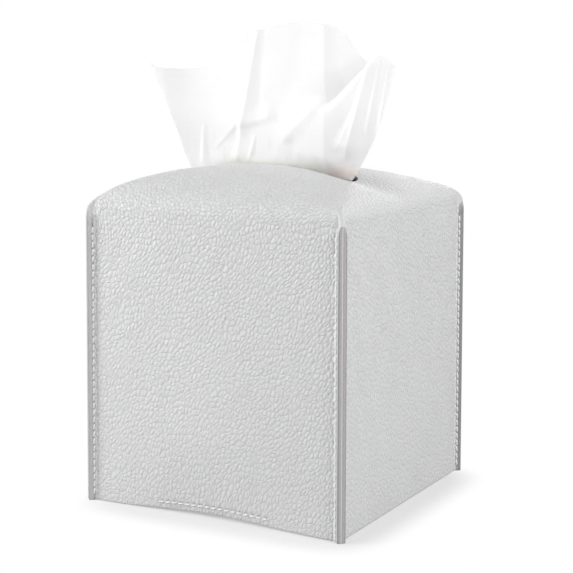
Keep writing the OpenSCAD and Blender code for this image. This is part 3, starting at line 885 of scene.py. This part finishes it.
def hem_row_shade(rings, k):
    """Painted shade round the row of stitches in a wall's hem."""
    x = spin(rings[..., :2], 4 - k)[..., 0]
    over_row = rings[..., 2] - ROW_H - lift(k, x / (COVER_W / 2), 0) - HEM_SHADE_RISE
    holes = 0.55 + 0.45 * np.cos(2 * np.pi * x / PITCH)
    return 1 - HEM_SHADE * holes * bell(over_row, 0.6) * (np.abs(x) < STRAP_W / 2)


def pebble_relief(rings, wall_count, outer_count):
    """Strength of the pebbles: none at the hem's and slot's edges, little on the seams' crests."""
    z = rings[..., 2]
    across = smooth((rings[..., 0] + rings[..., 1] + 20) / 40)
    on_walls = np.repeat(WALL_RELIEFS, CROWD) * mix(HEM_RELIEF, TOP_RELIEF, np.clip(z / SEAM_H, 0, 1))
    relief = np.clip(z / 1.2, 0, 1) * mix(on_walls, mix(*CROWN_RELIEFS, across), smooth((z - SEAM_H) / 5))
    lip = outer_count - len(LIP_STEPS)
    relief[lip:] = 0
    crown = rings[wall_count:lip]
    past_end = np.maximum(np.abs(crown[..., 0]) - SLOT_STRAIGHT, 0)
    relief[wall_count:lip] *= smooth((np.hypot(past_end, crown[..., 1]) - SLOT_W / 2) / 4)
    top = slice(wall_count - 8, wall_count + 16)
    off_crest = np.abs(np.abs(rings[top, :, 0]) - np.abs(rings[top, :, 1])) / 3
    relief[top] *= 1 - 0.8 * smooth(1.3 - off_crest)
    return relief


def per_column(on_wall, on_seam):
    """A value for each column of the rings, from a wall's value and those across a seam."""
    return np.tile(np.concatenate([np.full(WALL_COLUMNS, on_wall), on_seam]), 4)


def shell_values(rings, wall_count, outer_count):
    """Tone, with painted light and shade at the seams and the hem's stitches, and pebble relief of the
    leather's points, and each column's kind of surface.
    """
    kind = per_column(-1, KIND)
    sewn = np.clip((SEAM_H - rings[..., 2]) / SEAM_ARCH, 0, 1) ** 0.5
    sewn[wall_count:] = 0
    past_row = per_column(0.0, SEWN[:, 0]) - SEAM_ROW
    beyond = smooth((past_row - 0.2) / 0.5) * (kind == FACE)
    row = bell(past_row, 0.4) * (kind == FACE)
    # The fillet's tone lifts it as painted light; past the stitches each margin is darker, on the rear
    # right by painted shade; and the stitch row gets a painted shade of its groove
    seam_tone_and_shade = np.select([kind == n for n in SEAM_KINDS], SEAM_TONES_AND_LIGHT, 1.0)
    seam_tone_and_shade = mix(seam_tone_and_shade, np.repeat(MARGIN_SHADES, CROWD), beyond) * (1 - 0.5 * row)
    tone_and_shade = mix(1, seam_tone_and_shade, sewn)
    for k in (0, 2):
        cols = slice(k * CROWD, k * CROWD + WALL_COLUMNS)
        tone_and_shade[:wall_count, cols] *= hem_row_shade(rings[:wall_count, cols], k)
    relief = mix(1, np.select([kind == FACE, kind >= EDGE], [1 - 0.7 * beyond, 0.0], 1.0), sewn)
    return tone_and_shade, relief * pebble_relief(rings, wall_count, outer_count), kind


def relief_group():
    """Geometry nodes that raise the leather's pebbles by the same recipe as its material's bump."""
    group = bpy.data.node_groups.new("raise_pebbles", "GeometryNodeTree")
    group.interface.new_socket("Geometry", in_out="INPUT", socket_type="NodeSocketGeometry")
    group.interface.new_socket("Geometry", in_out="OUTPUT", socket_type="NodeSocketGeometry")
    start = add(group, "NodeGroupInput")
    grain = add(group, "GeometryNodeInputNamedAttribute", {"Name": "grain"}, data_type="FLOAT_VECTOR")
    relief = add(group, "GeometryNodeInputNamedAttribute", {"Name": "relief"}, data_type="FLOAT")
    height = math_node(group, "SUBTRACT", pebble_height(group, grain.outputs["Attribute"]), MEAN_HEIGHT)
    raised = product(group, height, relief.outputs["Attribute"], RAISED_SHARE * PEBBLE_H * MM)
    normal = add(group, "GeometryNodeInputNormal").outputs[0]
    offset = vector_node(group, "SCALE", {0: normal, "Scale": raised})
    moved = add(group, "GeometryNodeSetPosition", {"Geometry": start.outputs[0], "Offset": offset})
    end = add(group, "NodeGroupOutput")
    group.links.new(moved.outputs[0], end.inputs[0])
    return group


def apply_nodes(piece, group):
    """Runs geometry nodes on a piece and keeps the result as its mesh."""
    modifier = piece.modifiers.new("nodes", "NODES")
    modifier.node_group = group
    bpy.context.view_layer.update()
    depsgraph = bpy.context.evaluated_depsgraph_get()
    mesh = bpy.data.meshes.new_from_object(piece.evaluated_get(depsgraph), depsgraph=depsgraph)
    piece.modifiers.clear()
    piece.data = mesh


def build_leather():
    rings, wall_count, outer_count = leather_shell()
    rows, cols = rings.shape[:2]
    faces = grid_faces(rows, cols, closed_rows=True, closed_cols=True)
    tone_and_shade, relief, kind = shell_values(rings, wall_count, outer_count)
    ring_of, col_of = np.divmod(np.arange(rows * cols), cols)
    in_raw = (np.minimum(kind, np.roll(kind, -1))[col_of] >= EDGE) & (ring_of < wall_count - 1)
    at_hem = (ring_of == rows - 1) | (ring_of < 1)
    at_slot = (ring_of > outer_count - len(LIP_STEPS)) & (ring_of <= outer_count)
    side = np.where(ring_of >= outer_count, LINING_SIDE, COAT_SIDE)
    kinds = np.where(in_raw | at_hem | at_slot, CUT_SIDE, side)
    piece = make_piece("pebbled_cover", rings, faces, HIDE, kinds)
    grain = np.zeros((rows, cols, 3))
    grain[:outer_count, :, :2] = blank_places(rings[:outer_count], wall_count)
    set_values(piece, "grain", grain, "FLOAT_VECTOR")
    set_values(piece, "relief", relief)
    set_values(piece, "tone_and_shade", tone_and_shade)
    apply_nodes(piece, relief_group())
    piece.data.set_sharp_from_angle(angle=math.radians(50))
    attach(piece, "cover")
    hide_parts("leather_cover")


def tube(path, radii, sides=8):
    """Closed tube of points and faces along a path, with the angle round it at each point."""
    path = np.asarray(path, float)
    ahead = np.gradient(path, axis=0)
    ahead /= np.linalg.norm(ahead, axis=1)[:, None]
    guide = [0.0, 0.0, 1.0] if abs(ahead[:, 2]).max() < 0.9 else [1.0, 0.3, 0.0]
    side = np.cross(ahead, np.array(guide))
    side /= np.linalg.norm(side, axis=1)[:, None]
    up = np.cross(side, ahead)
    around = np.linspace(0, 2 * np.pi, sides, endpoint=False)
    ring = np.cos(around)[None, :, None] * side[:, None] + np.sin(around)[None, :, None] * up[:, None]
    points = path[:, None] + ring * np.asarray(radii)[:, None, None]
    return points.reshape(-1, 3), capped_faces(len(path), sides), np.tile(around, len(path))


def gather(parts):
    """One set of points, faces and values from many."""
    points, faces, values, first = [], [], [], 0
    for p, f, v in parts:
        points.append(p)
        faces += [[i + first for i in face] for face in f]
        values.append(v)
        first += len(p)
    return np.concatenate(points), faces, np.concatenate(values)


def stitch(a, b, out, radius, slant):
    """One stitch from needle hole a to b, arched over the leather towards out."""
    a, b, out = (np.asarray(v, float) for v in (a, b, out))
    t = np.linspace(0, 1, 11)
    along = b - a
    length = np.linalg.norm(along)
    aside = np.cross(along / length, out)
    rise = -0.55 + 0.95 * np.sin(np.pi * t) ** 0.55
    path = a + np.outer(t, along)
    path += np.outer(rise * radius * 1.15, out) + np.outer((t - 0.5) * slant, aside)
    radii = radius * (0.62 + 0.38 * np.sin(np.pi * t) ** 0.5)
    points, faces, around = tube(path, radii)
    return points, faces, around + np.repeat(t * length * THREAD_TWIST, len(points) // len(t))


def stitch_row(starts, hole, out, radius=THREAD_R, slant=0.0):
    """Stitches in line, between the needle holes that hole gives for their starts and ends."""
    return [stitch(hole(start), hole(start + STITCH_L), out, radius, slant) for start in starts]


def row_starts(width):
    """Where each stitch starts in a row that is centred in a width."""
    count = math.floor(width / PITCH)
    return [-(count - 1) / 2 * PITCH - STITCH_L / 2 + i * PITCH for i in range(count)]


def seam_stitches(k):
    """Both rows of stitches of the corner after wall k."""
    count = math.floor((SEAM_H - SEAM_ARCH - ROW_H) / PITCH)
    starts = [ROW_H + i * PITCH for i in range(count)]
    parts = []
    for side in (-1, 1):
        def hole(z):
            along = (2 * half_w(z) - CORNER_IN) / ROOT2 + SEAM_ROW
            return [*spin(on_diagonal(np.array(along), np.array(side * (SEAM_HALF - SUNK))), k), z]
        out = [*spin(on_diagonal(np.array(0.0), np.array(float(side))), k), 0.0]
        parts += stitch_row(starts, hole, out, slant=0.28 * side)
    return gather(parts)


# Half a wall's width at its hem, between the corner seams
HEM_HALF = half_w(0) - CORNER_IN


def strap_wall_y(x, z, inset):
    """Place of the drawn-in front wall at x and a height, set in by a distance."""
    s = x / HEM_HALF
    drawn_up = HEM_LIFT * hem_share(0, s)
    z0 = (z - drawn_up) / (1 - drawn_up / PULL_H)
    return inset + pull(0, s, z0) - half_w(z0)


def strap_stitches(turned):
    """The row of stitches through a hem and its strap, seen on the wall and again inside."""
    parts = []
    for inset, out in [(SUNK, -1), (LEATHER_T + TOUCH_GAP + STRAP_T - 0.1, 1)]:
        def hole(x):
            z = ROW_H + lift(0, x / HEM_HALF, 0)
            return [x * turned, strap_wall_y(x, z, inset) * turned, z]
        parts += stitch_row(row_starts(STRAP_W), hole, [0, out * turned, 0], slant=0.3 * out)
    return gather(parts)


def thread_piece(name, made, body, node, material=WHITE_THREAD):
    points, faces, ply = made
    piece = make_piece(name, points, faces, [material], sharp=60)
    set_values(piece, "ply", ply)
    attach(piece, body)
    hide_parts(node)


def build_threads():
    for k, corner in enumerate(["front_right", "rear_right", "rear_left", "front_left"]):
        thread_piece("seam_stitches_" + corner, seam_stitches(k), "cover", "seam_thread_" + corner)
    thread_piece("hem_stitches_front", strap_stitches(1), "cover", "front_strap_thread")
    thread_piece("hem_stitches_rear", strap_stitches(-1), "cover", "rear_strap_thread")


# Axis of each strap's fold behind its hem
HINGE_Z = 1.2
HINGE_Y = half_w(0) - HEM_PULL - LEATHER_T - TOUCH_GAP - STRAP_T / 2


def strap_path(x, climb):
    """Middle of a strap at each x, from its sewn top edge round its fold to its tip, as y and z."""
    face = LEATHER_T + TOUCH_GAP + STRAP_T / 2
    fold_top = HINGE_Z + FOLD_R
    tab = [(strap_wall_y(x, z, face), z + 0 * x) for z in np.linspace(TAB_TOP, fold_top, 9)]
    y0 = strap_wall_y(x, fold_top, face)
    y1 = -HINGE_Y + FOLD_R
    fold = [(y1 - (y1 - y0) * math.cos(t), HINGE_Z + FOLD_R * (1 - math.sin(t)) + 0 * x)
            for t in np.radians(np.linspace(0, 90, 8)[1:])]
    rounded = STRAP_ROUND_FROM + STRAP_CORNER_R * np.sin(np.radians(np.linspace(0, 90, 9)[1:]))
    flat = -STRAP_OVERLAP / 2 - STRAP_T * 3
    rise = UPPER_STRAP_Z + STRAP_T / 2 - HINGE_Z if climb else 0
    free = []
    for y in np.concatenate([np.linspace(y1, STRAP_ROUND_FROM, 40)[1:], rounded]):
        climbed = smooth(np.clip((y - y1) / (flat - y1), 0, 1) ** 0.9)
        free.append((y + 0 * x, HINGE_Z + rise * climbed + 0 * x))
    return tab + fold + free


def build_strap(name, turned, body, *nodes):
    """One strap, from its end sewn behind the hem to its round-cornered tip."""
    shares = np.sin(np.linspace(-np.pi / 2, np.pi / 2, STRAP_COLUMNS))
    across = shares * STRAP_W / 2
    middle = np.array([at(across, y, z) for y, z in strap_path(across, body == "upper_strap")])
    over = np.clip(middle[:, 0, 1] - STRAP_ROUND_FROM, 0, STRAP_CORNER_R)
    half = STRAP_W / 2 - STRAP_CORNER_R + np.sqrt(STRAP_CORNER_R**2 - over**2)
    middle[..., 0] = shares * half[:, None]
    normal = np.cross(np.gradient(middle, axis=0), np.array([1.0, 0, 0]))
    normal /= np.linalg.norm(normal, axis=-1)[..., None]
    rows, cols = middle.shape[:2]
    thick = np.tile(STRAP_T / 2 * np.where(np.abs(shares) > 0.999, SIDE_SHARE, 1), (rows, 1))[..., None]
    thick[[0, -1]] *= BORDER_SHARE
    points = np.concatenate([middle + normal * thick, middle - normal * thick])
    points[..., :2] *= turned
    front, back, rim = sheet_faces(rows, cols)
    kinds = [COAT_SIDE] * len(front) + [LINING_SIDE] * len(back) + [CUT_SIDE] * len(rim)
    piece = make_piece(name, points, front + back + rim, HIDE, kinds, sharp=50)
    steps = np.linalg.norm(np.diff(middle[:, cols // 2], axis=0), axis=1)
    along = np.concatenate([[0], np.cumsum(steps)])
    grain = at(middle[..., 0], np.broadcast_to(along[:, None], (rows, cols)), 0 * middle[..., 0])
    set_values(piece, "grain", np.concatenate([grain, grain]), "FLOAT_VECTOR")
    set_values(piece, "relief", np.full(2 * rows * cols, STRAP_RELIEF))
    set_values(piece, "tone_and_shade", np.full(2 * rows * cols, STRAP_TONE))
    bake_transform(piece)
    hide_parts(*nodes)


def tape_base():
    """Woven tape with raised middle and flat stitched edges, as a grid with rounded borders."""
    xs = np.array([-1, -0.99, -0.96, -0.5, 0, 0.5, 0.96, 0.99, 1]) * PATCH_W / 2
    end = PATCH_L / 2
    edge = end - SELVEDGE_W
    half_ys = [edge - 0.2, edge + 0.2, end - 0.15, end]
    ys = np.array([-y for y in half_ys[::-1]] + [0] + half_ys)
    high = np.where(np.abs(ys) < edge, SELVEDGE_T + 0.12, SELVEDGE_T)
    high[[0, -1]] *= BORDER_SHARE
    grid = np.array([[(x, y, h) for y, h in zip(ys, high)] for x in xs])
    grid[[0, -1], :, 2] *= BORDER_SHARE
    points = np.concatenate([grid, grid * [1, 1, 0]]).reshape(-1, 3)
    front, back, rim = sheet_faces(len(xs), len(ys))
    return points, front + back + rim, np.zeros(len(points))


def hooks():
    """Rows of small hooks that stand on the tape, bent over in alternate directions."""
    bend = np.array(HOOK_BEND)
    half_l = PATCH_L / 2 - SELVEDGE_W
    parts = []
    for x in np.arange(-PATCH_W / 2 + 2, PATCH_W / 2 - HOOK_PITCH_X, HOOK_PITCH_X):
        for j, y in enumerate(np.arange(-half_l + 0.7, half_l - 0.4, HOOK_PITCH_Y)):
            way = 1 if j % 2 else -1
            parts.append(tube([x, y, PILE_Z] + bend * [way, 1, 1], HOOK_RADII, sides=5))
    return parts


def loops():
    """A soft pile of small loops that lean at random, from a fixed seed."""
    rng = np.random.default_rng(7)
    half_w_in, half_l_in = PATCH_W / 2 - 1.4, PATCH_L / 2 - SELVEDGE_W - 0.8
    bend = np.linspace(0, np.pi, 7)
    parts = []
    for _ in range(LOOP_COUNT):
        x = rng.uniform(-half_w_in, half_w_in)
        y = rng.uniform(-half_l_in, half_l_in)
        turn, wide, high = rng.uniform(0, np.pi), rng.uniform(0.4, 0.7), rng.uniform(0.35, 0.5)
        out = wide * np.cos(bend)
        path = at(x + out * math.cos(turn), y + out * math.sin(turn), PILE_Z + 0.03 + high * np.sin(bend))
        parts.append(tube(path, np.full(len(bend), LOOP_R), sides=3))
    return parts


def patch_stitches():
    starts = row_starts(PATCH_W - STITCH_L)
    parts = []
    for y in (-PATCH_L / 2 + SELVEDGE_W / 2, PATCH_L / 2 - SELVEDGE_W / 2):
        parts += stitch_row(starts, lambda x: [x, y, SELVEDGE_T], [0, 0, 1], FINE_THREAD_R)
    return gather(parts)


def placed(made, z, facing):
    """Points on the lower strap, or turned over under the upper one."""
    points, faces, values = made
    return points * [1, facing, facing] + [0, 0, z], faces, values


def build_patches():
    for kind, body, z, facing, material, pile in [
        ("hook", "lower_strap", HOOK_Z, 1, HOOK_TAPE, hooks()),
        ("loop", "upper_strap", UPPER_STRAP_Z, -1, LOOP_TAPE, loops()),
    ]:
        points, faces, _ = placed(gather([tape_base()] + pile), z, facing)
        piece = make_piece(kind + "_tape", points, faces, [material], sharp=50)
        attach(piece, body)
        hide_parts(kind + "_patch")
        made = placed(patch_stitches(), z, facing)
        thread_piece(kind + "_tape_stitches", made, body, kind + "_patch_thread", FINE_THREAD)


def slab(low, high, r):
    """A flat ply with rounded long edges, between two corners."""
    width, depth = (high[0] - low[0]) / 2, (high[1] - low[1]) / 2
    middle = np.array([(high[i] + low[i]) / 2 for i in range(3)])
    xs = np.linspace(-width, width, 13)
    turn = np.radians(np.linspace(-90, 90, 7))
    side = at(depth - r + r * np.cos(turn), r * np.sin(turn))
    outline = np.concatenate([side, side[::-1] * [-1, 1]])
    points = np.array([[middle + [x, y, z] for y, z in outline] for x in xs])
    faces = [f[::-1] for f in capped_faces(len(xs), len(outline))]
    return points.reshape(-1, 3), faces, np.zeros(points[..., 0].size)


def build_stack():
    """Interfolded plies left in the carton, each a little out of line with the next."""
    low, high = (np.array(corner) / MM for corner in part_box("tissue_stack"))
    rng = np.random.default_rng(3)
    t = (high[2] - low[2]) / PLIES_LEFT
    parts = []
    for i in range(PLIES_LEFT):
        shift = rng.uniform(0, PLY_SHIFT, 4)
        a = [low[0] + shift[0], low[1] + shift[1], low[2] + i * t + PLY_GAP]
        b = [high[0] - shift[2], high[1] - shift[3], low[2] + (i + 1) * t - PLY_GAP]
        parts.append(slab(a, b, t / 2 - 0.04))
    points, faces, _ = gather(parts)
    piece = make_piece("folded_tissues", points, faces, [TISSUE], sharp=50)
    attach(piece, "cover")
    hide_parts("tissue_stack")


def tissue_rows(t):
    """Four rows of the tissue: leaving the slot, on the slot's rim, a third up and its free edge."""
    top_x = spline(TOP_X_SHARES, t)
    s = (top_x - top_x[0]) / (top_x[-1] - top_x[0])
    x = [mix(left, right, s) * TISSUE_REACH for left, right in zip(LEFT_EDGE_SHARES, RIGHT_EDGE_SHARES)]
    narrow = 1 - 0.6 * (2 * s - 1) ** 2
    in_slot = at(x[0], TISSUE_Y * narrow)
    on_rim = at(x[1], 1.6 * TISSUE_Y * narrow)
    past_end = smooth((np.abs(x[1]) - SLOT_L / 2 + 5) / 6)
    rows = [raised(in_slot, roof(in_slot)[0] + mix(*IN_SLOT_RISES, past_end)),
            raised(on_rim, roof(on_rim)[0] + mix(*ON_RIM_RISES, past_end))]
    flap = 1.5 * TISSUE_Y * smooth((-0.56 - x[3] / TISSUE_REACH) / 0.44)
    for place, share in zip(x[2:], EDGE_HEIGHT_SHARES[1:]):
        height = CROWN_TOP + share * TISSUE_RISE * spline(TOP_Z_SHARES, t)
        rows.append(at(place, TISSUE_Y + share * flap, height))
    return np.stack(rows), s


def crease_depth(x, z, crease):
    """How far one fold brings the tissue forwards, with a sharp crest and soft feet."""
    x0, z0, x1, z1, high, left, right = crease
    start = np.array([x0 * TISSUE_REACH, CROWN_TOP + z0 * TISSUE_RISE])
    end = np.array([x1 * TISSUE_REACH, CROWN_TOP + z1 * TISSUE_RISE])
    length = np.linalg.norm(end - start)
    ahead = (end - start) / length
    along = ((x - start[0]) * ahead[0] + (z - start[1]) * ahead[1]) / length
    aside = -(x - start[0]) * ahead[1] + (z - start[1]) * ahead[0]
    grown = mix(0.35, 1, np.clip(along, 0, 1))
    near = np.clip(1 - np.abs(aside) / (np.where(aside > 0, right, left) * grown), 0, 1)
    return high * grown * near**1.5 * smooth((along + 0.1) / 0.2) * smooth((1.15 - along) / 0.25)


def crumple(place, size, seed):
    """Smooth noise of a place, from about -1 to 1."""
    return noise.noise(Vector(place) / size + Vector((seed, 2.3 * seed, -seed)))


def wrinkle(x, z, gathered):
    """Small wrinkles at one place: pleats and dents where the tissue is gathered, else faint creases."""
    pleat = crumple((x / 3.4, 0, z / 17), 1.0, 1.7) + 0.5 * crumple((x / 1.9, 4, z / 9), 1.0, 5.1)
    dent = crumple((x, 0, z), 6.5, 9.2)
    crease = 1 - 2 * abs(crumple((x, 0, z * 0.6), 19.0, 6.4))
    return (0.45 * pleat + 0.6 * dent) * gathered + (0.28 * crease + 0.12 * dent) * (1 - gathered)


def tissue_wrinkles(points, h):
    """Wrinkles of each point, strongest near the slot. h is 0 at the slot and 1 at the top."""
    return np.array([[wrinkle(x, z, math.exp(-6.0 * max(height, 0))) for x, _, z in row]
                     for row, height in zip(points, h)])


def surface_normals(grid):
    """Unit normals of a grid of points."""
    normal = np.cross(np.gradient(grid, axis=1), np.gradient(grid, axis=0))
    return normal / np.maximum(np.linalg.norm(normal, axis=-1), 1e-9)[..., None]


def pleats(s, z):
    """Uneven soft pleats of the gathered tail, none at its side edges."""
    drift = 0.03 * np.sin(2 * np.pi * (1.7 * s + z / 90)) + 0.015 * np.sin(2 * np.pi * (3.3 * s - z / 52))
    deep = 1 - 0.4 * np.sin(np.pi * (2.3 * s + z / 120 + 0.2)) ** 2
    ends = smooth(s / 0.05) * smooth((1 - s) / 0.05)
    return PLEAT_DEPTH * deep * ends * np.sin(2 * np.pi * PLEATS * (s + drift))


def tissue_tail(neck):
    """The sheet from the stack up to its neck in the slot, and how far it has spread at each row."""
    neck_z = neck[:, 2].min() - NECK_DROP
    tail_z = np.linspace(TAIL_BOTTOM, neck_z, TAIL_ROWS)
    spread = smooth((neck_z - tail_z) / SPREAD_H)
    tail = np.repeat(neck[None], len(tail_z), 0)
    tail[..., 2] = tail_z[:, None]
    tail[..., 1] = mix(tail[..., 1], 0.35 * TISSUE_Y, spread[:, None])
    tail[..., 1] += 0.5 * tissue_wrinkles(tail, 0 * tail_z)
    return tail, spread


def build_tissue():
    """The drawn sheet: its pleated tail in the carton, its gathers in the slot and its folds above."""
    rows, s = tissue_rows(np.linspace(0, len(TOP_X_SHARES) - 1, SHEET_COLUMNS))
    steps = np.concatenate([np.linspace(0, 1, 7)[:-1], np.linspace(1, 2, 40)[:-1], np.linspace(2, 3, 60)])
    above = np.stack([spline(rows, np.array(step)) for step in steps])
    h = np.interp(steps, [1, 2, 3], EDGE_HEIGHT_SHARES)
    free = smooth(h / 0.15)[:, None]
    for crease in CREASES:
        above[..., 1] -= crease_depth(above[..., 0], above[..., 2], crease) * free
    above += surface_normals(above) * (tissue_wrinkles(above, h) * mix(0.12, 1, free))[..., None]
    tail, spread = tissue_tail(rows[0])
    grid = np.concatenate([tail, above])
    pleated = np.concatenate([mix(NECK_SHARE, 1, spread), NECK_SHARE * (1 - smooth(steps / 1.1))])
    grid[..., 1] += pleated[:, None] * pleats(s, grid[..., 2])
    thick = surface_normals(grid) * TISSUE_T / 2
    front, back, rim = sheet_faces(*grid.shape[:2])
    piece = make_piece("drawn_sheet", [grid + thick, grid - thick], front + back + rim, [TISSUE], sharp=50)
    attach(piece, "drawn_tissue")
    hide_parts("popup_tissue")


def dress_cad_nodes():
    """Materials of the CAD nodes whose own shape is shown."""
    for name, material in [("tissue_carton", BOARD), ("carton_film", FILM)]:
        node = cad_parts[name]
        node.data.materials.clear()
        node.data.materials.append(material)


def shadow_fade(tree):
    """0 under the object and 1 where its shadow has faded out, by a rounded square about it."""
    x, y, _ = add(tree, "ShaderNodeSeparateXYZ", {0: position(tree)}).outputs
    aside = math_node(tree, "SUBTRACT", x, SHADOW_SHIFT)
    ahead = math_node(tree, "ADD", y, SHADOW_SHIFT)
    powers = [math_node(tree, "POWER", math_node(tree, "ABSOLUTE", side), 6.0) for side in (aside, ahead)]
    away = math_node(tree, "POWER", math_node(tree, "ADD", *powers), 1 / 6)
    return ramp(tree, away, COVER_W / 2, COVER_W / 2 + SHADOW_REACH)


def mix_shaders(tree, share, first, second):
    """first where share is 0 and second where it is 1."""
    inputs = {0: share, 1: first.outputs[0], 2: second.outputs[0]}
    return add(tree, "ShaderNodeMixShader", inputs)


def floor_material():
    """White to the camera but for the object's shadow, plain and pale to all else, clear from below."""
    material = bpy.data.materials.new("studio_floor")
    material.use_nodes = True
    tree = material.node_tree
    tree.nodes.clear()
    bounce = add(tree, "ShaderNodeBsdfDiffuse", {"Color": BOUNCE_GREY})
    shown = add(tree, "ShaderNodeBsdfDiffuse", {"Color": SHOWN_GREY})
    glow = add(tree, "ShaderNodeEmission", {"Color": WHITE, "Strength": GLOW_LEVEL})
    near = add(tree, "ShaderNodeAddShader", {0: shown.outputs[0], 1: glow.outputs[0]})
    white = add(tree, "ShaderNodeEmission", {"Color": WHITE, "Strength": 1.0})
    seen = mix_shaders(tree, shadow_fade(tree), near, white)
    above = mix_shaders(tree, seen_by_camera(tree), bounce, seen)
    under = add(tree, "ShaderNodeNewGeometry").outputs["Backfacing"]
    both = mix_shaders(tree, under, above, add(tree, "ShaderNodeBsdfTransparent"))
    add(tree, "ShaderNodeOutputMaterial", {"Surface": both.outputs[0]})
    return material


def make_floor():
    half = FLOOR_HALF
    corners = [(-half, -half, 0), (half, -half, 0), (half, half, 0), (-half, half, 0)]
    floor = make_piece("floor", corners, [(0, 1, 2, 3)], [floor_material()])
    floor.location.z = -FLOOR_DROP * MM


def seen_by_camera(tree):
    """1 for rays that show the backdrop: straight, reflected or through glass."""
    path = add(tree, "ShaderNodeLightPath")
    either = math_node(tree, "MAXIMUM", path.outputs["Is Camera Ray"], path.outputs["Is Glossy Ray"])
    return math_node(tree, "MAXIMUM", either, path.outputs["Is Transmission Ray"])


def make_world():
    world = bpy.data.worlds.new("studio")
    world.use_nodes = True
    tree = world.node_tree
    tree.nodes.clear()
    soft = add(tree, "ShaderNodeBackground", {"Color": WHITE, "Strength": WORLD_LEVEL})
    white = add(tree, "ShaderNodeBackground", {"Color": WHITE, "Strength": 1.0})
    mixed = mix_shaders(tree, seen_by_camera(tree), soft, white)
    add(tree, "ShaderNodeOutputWorld", {"Surface": mixed.outputs[0]})
    bpy.context.scene.world = world


def softbox(name, azimuth, elevation, size, distance, level):
    """A round lamp that gives a white card, held square to it at the object, that share of full white."""
    toward = direction(azimuth, elevation)
    light = bpy.data.lights.new(name, "AREA")
    light.shape = "DISK"
    light.size = size
    light.energy = level * (math.pi * distance) ** 2
    holder = make_object(name, light)
    holder.location = Vector((0, 0, LAMP_AIM_Z)) + toward * distance
    holder.rotation_mode = "QUATERNION"
    holder.rotation_quaternion = toward.to_track_quat("Z", "Y")


def make_camera():
    """The photograph's viewpoint."""
    back = direction(VIEW_AZIMUTH, VIEW_ELEVATION)
    right = Vector((0, 0, 1)).cross(back).normalized()
    up = back.cross(right)
    aim = Vector((0, 0, AIM_Z)) + right * AIM_RIGHT + up * AIM_UP
    data = bpy.data.cameras.new("camera")
    data.sensor_width = SENSOR_W
    data.lens = FOCAL_PX / IMAGE_PX * SENSOR_W
    data.clip_start, data.clip_end = 0.01, 50
    camera = make_object("camera", data)
    roll = math.radians(VIEW_ROLL)
    turned_right = right * math.cos(roll) + up * math.sin(roll)
    turned_up = up * math.cos(roll) - right * math.sin(roll)
    axes = Matrix((turned_right, turned_up, back)).transposed().to_4x4()
    camera.matrix_world = Matrix.Translation((aim + back * VIEW_DISTANCE) * MM) @ axes
    bpy.context.scene.camera = camera


make_camera()
make_floor()
make_world()
for lamp, values in LAMPS.items():
    softbox(lamp, *values)
build_leather()
build_threads()
build_strap("front_strap_strip", 1, "lower_strap", "front_strap_tab", "front_strap")
build_strap("rear_strap_strip", -1, "upper_strap", "rear_strap_tab", "rear_strap")
build_patches()
build_stack()
build_tissue()
dress_cad_nodes()
bpy.context.scene.view_settings.view_transform = "Standard"
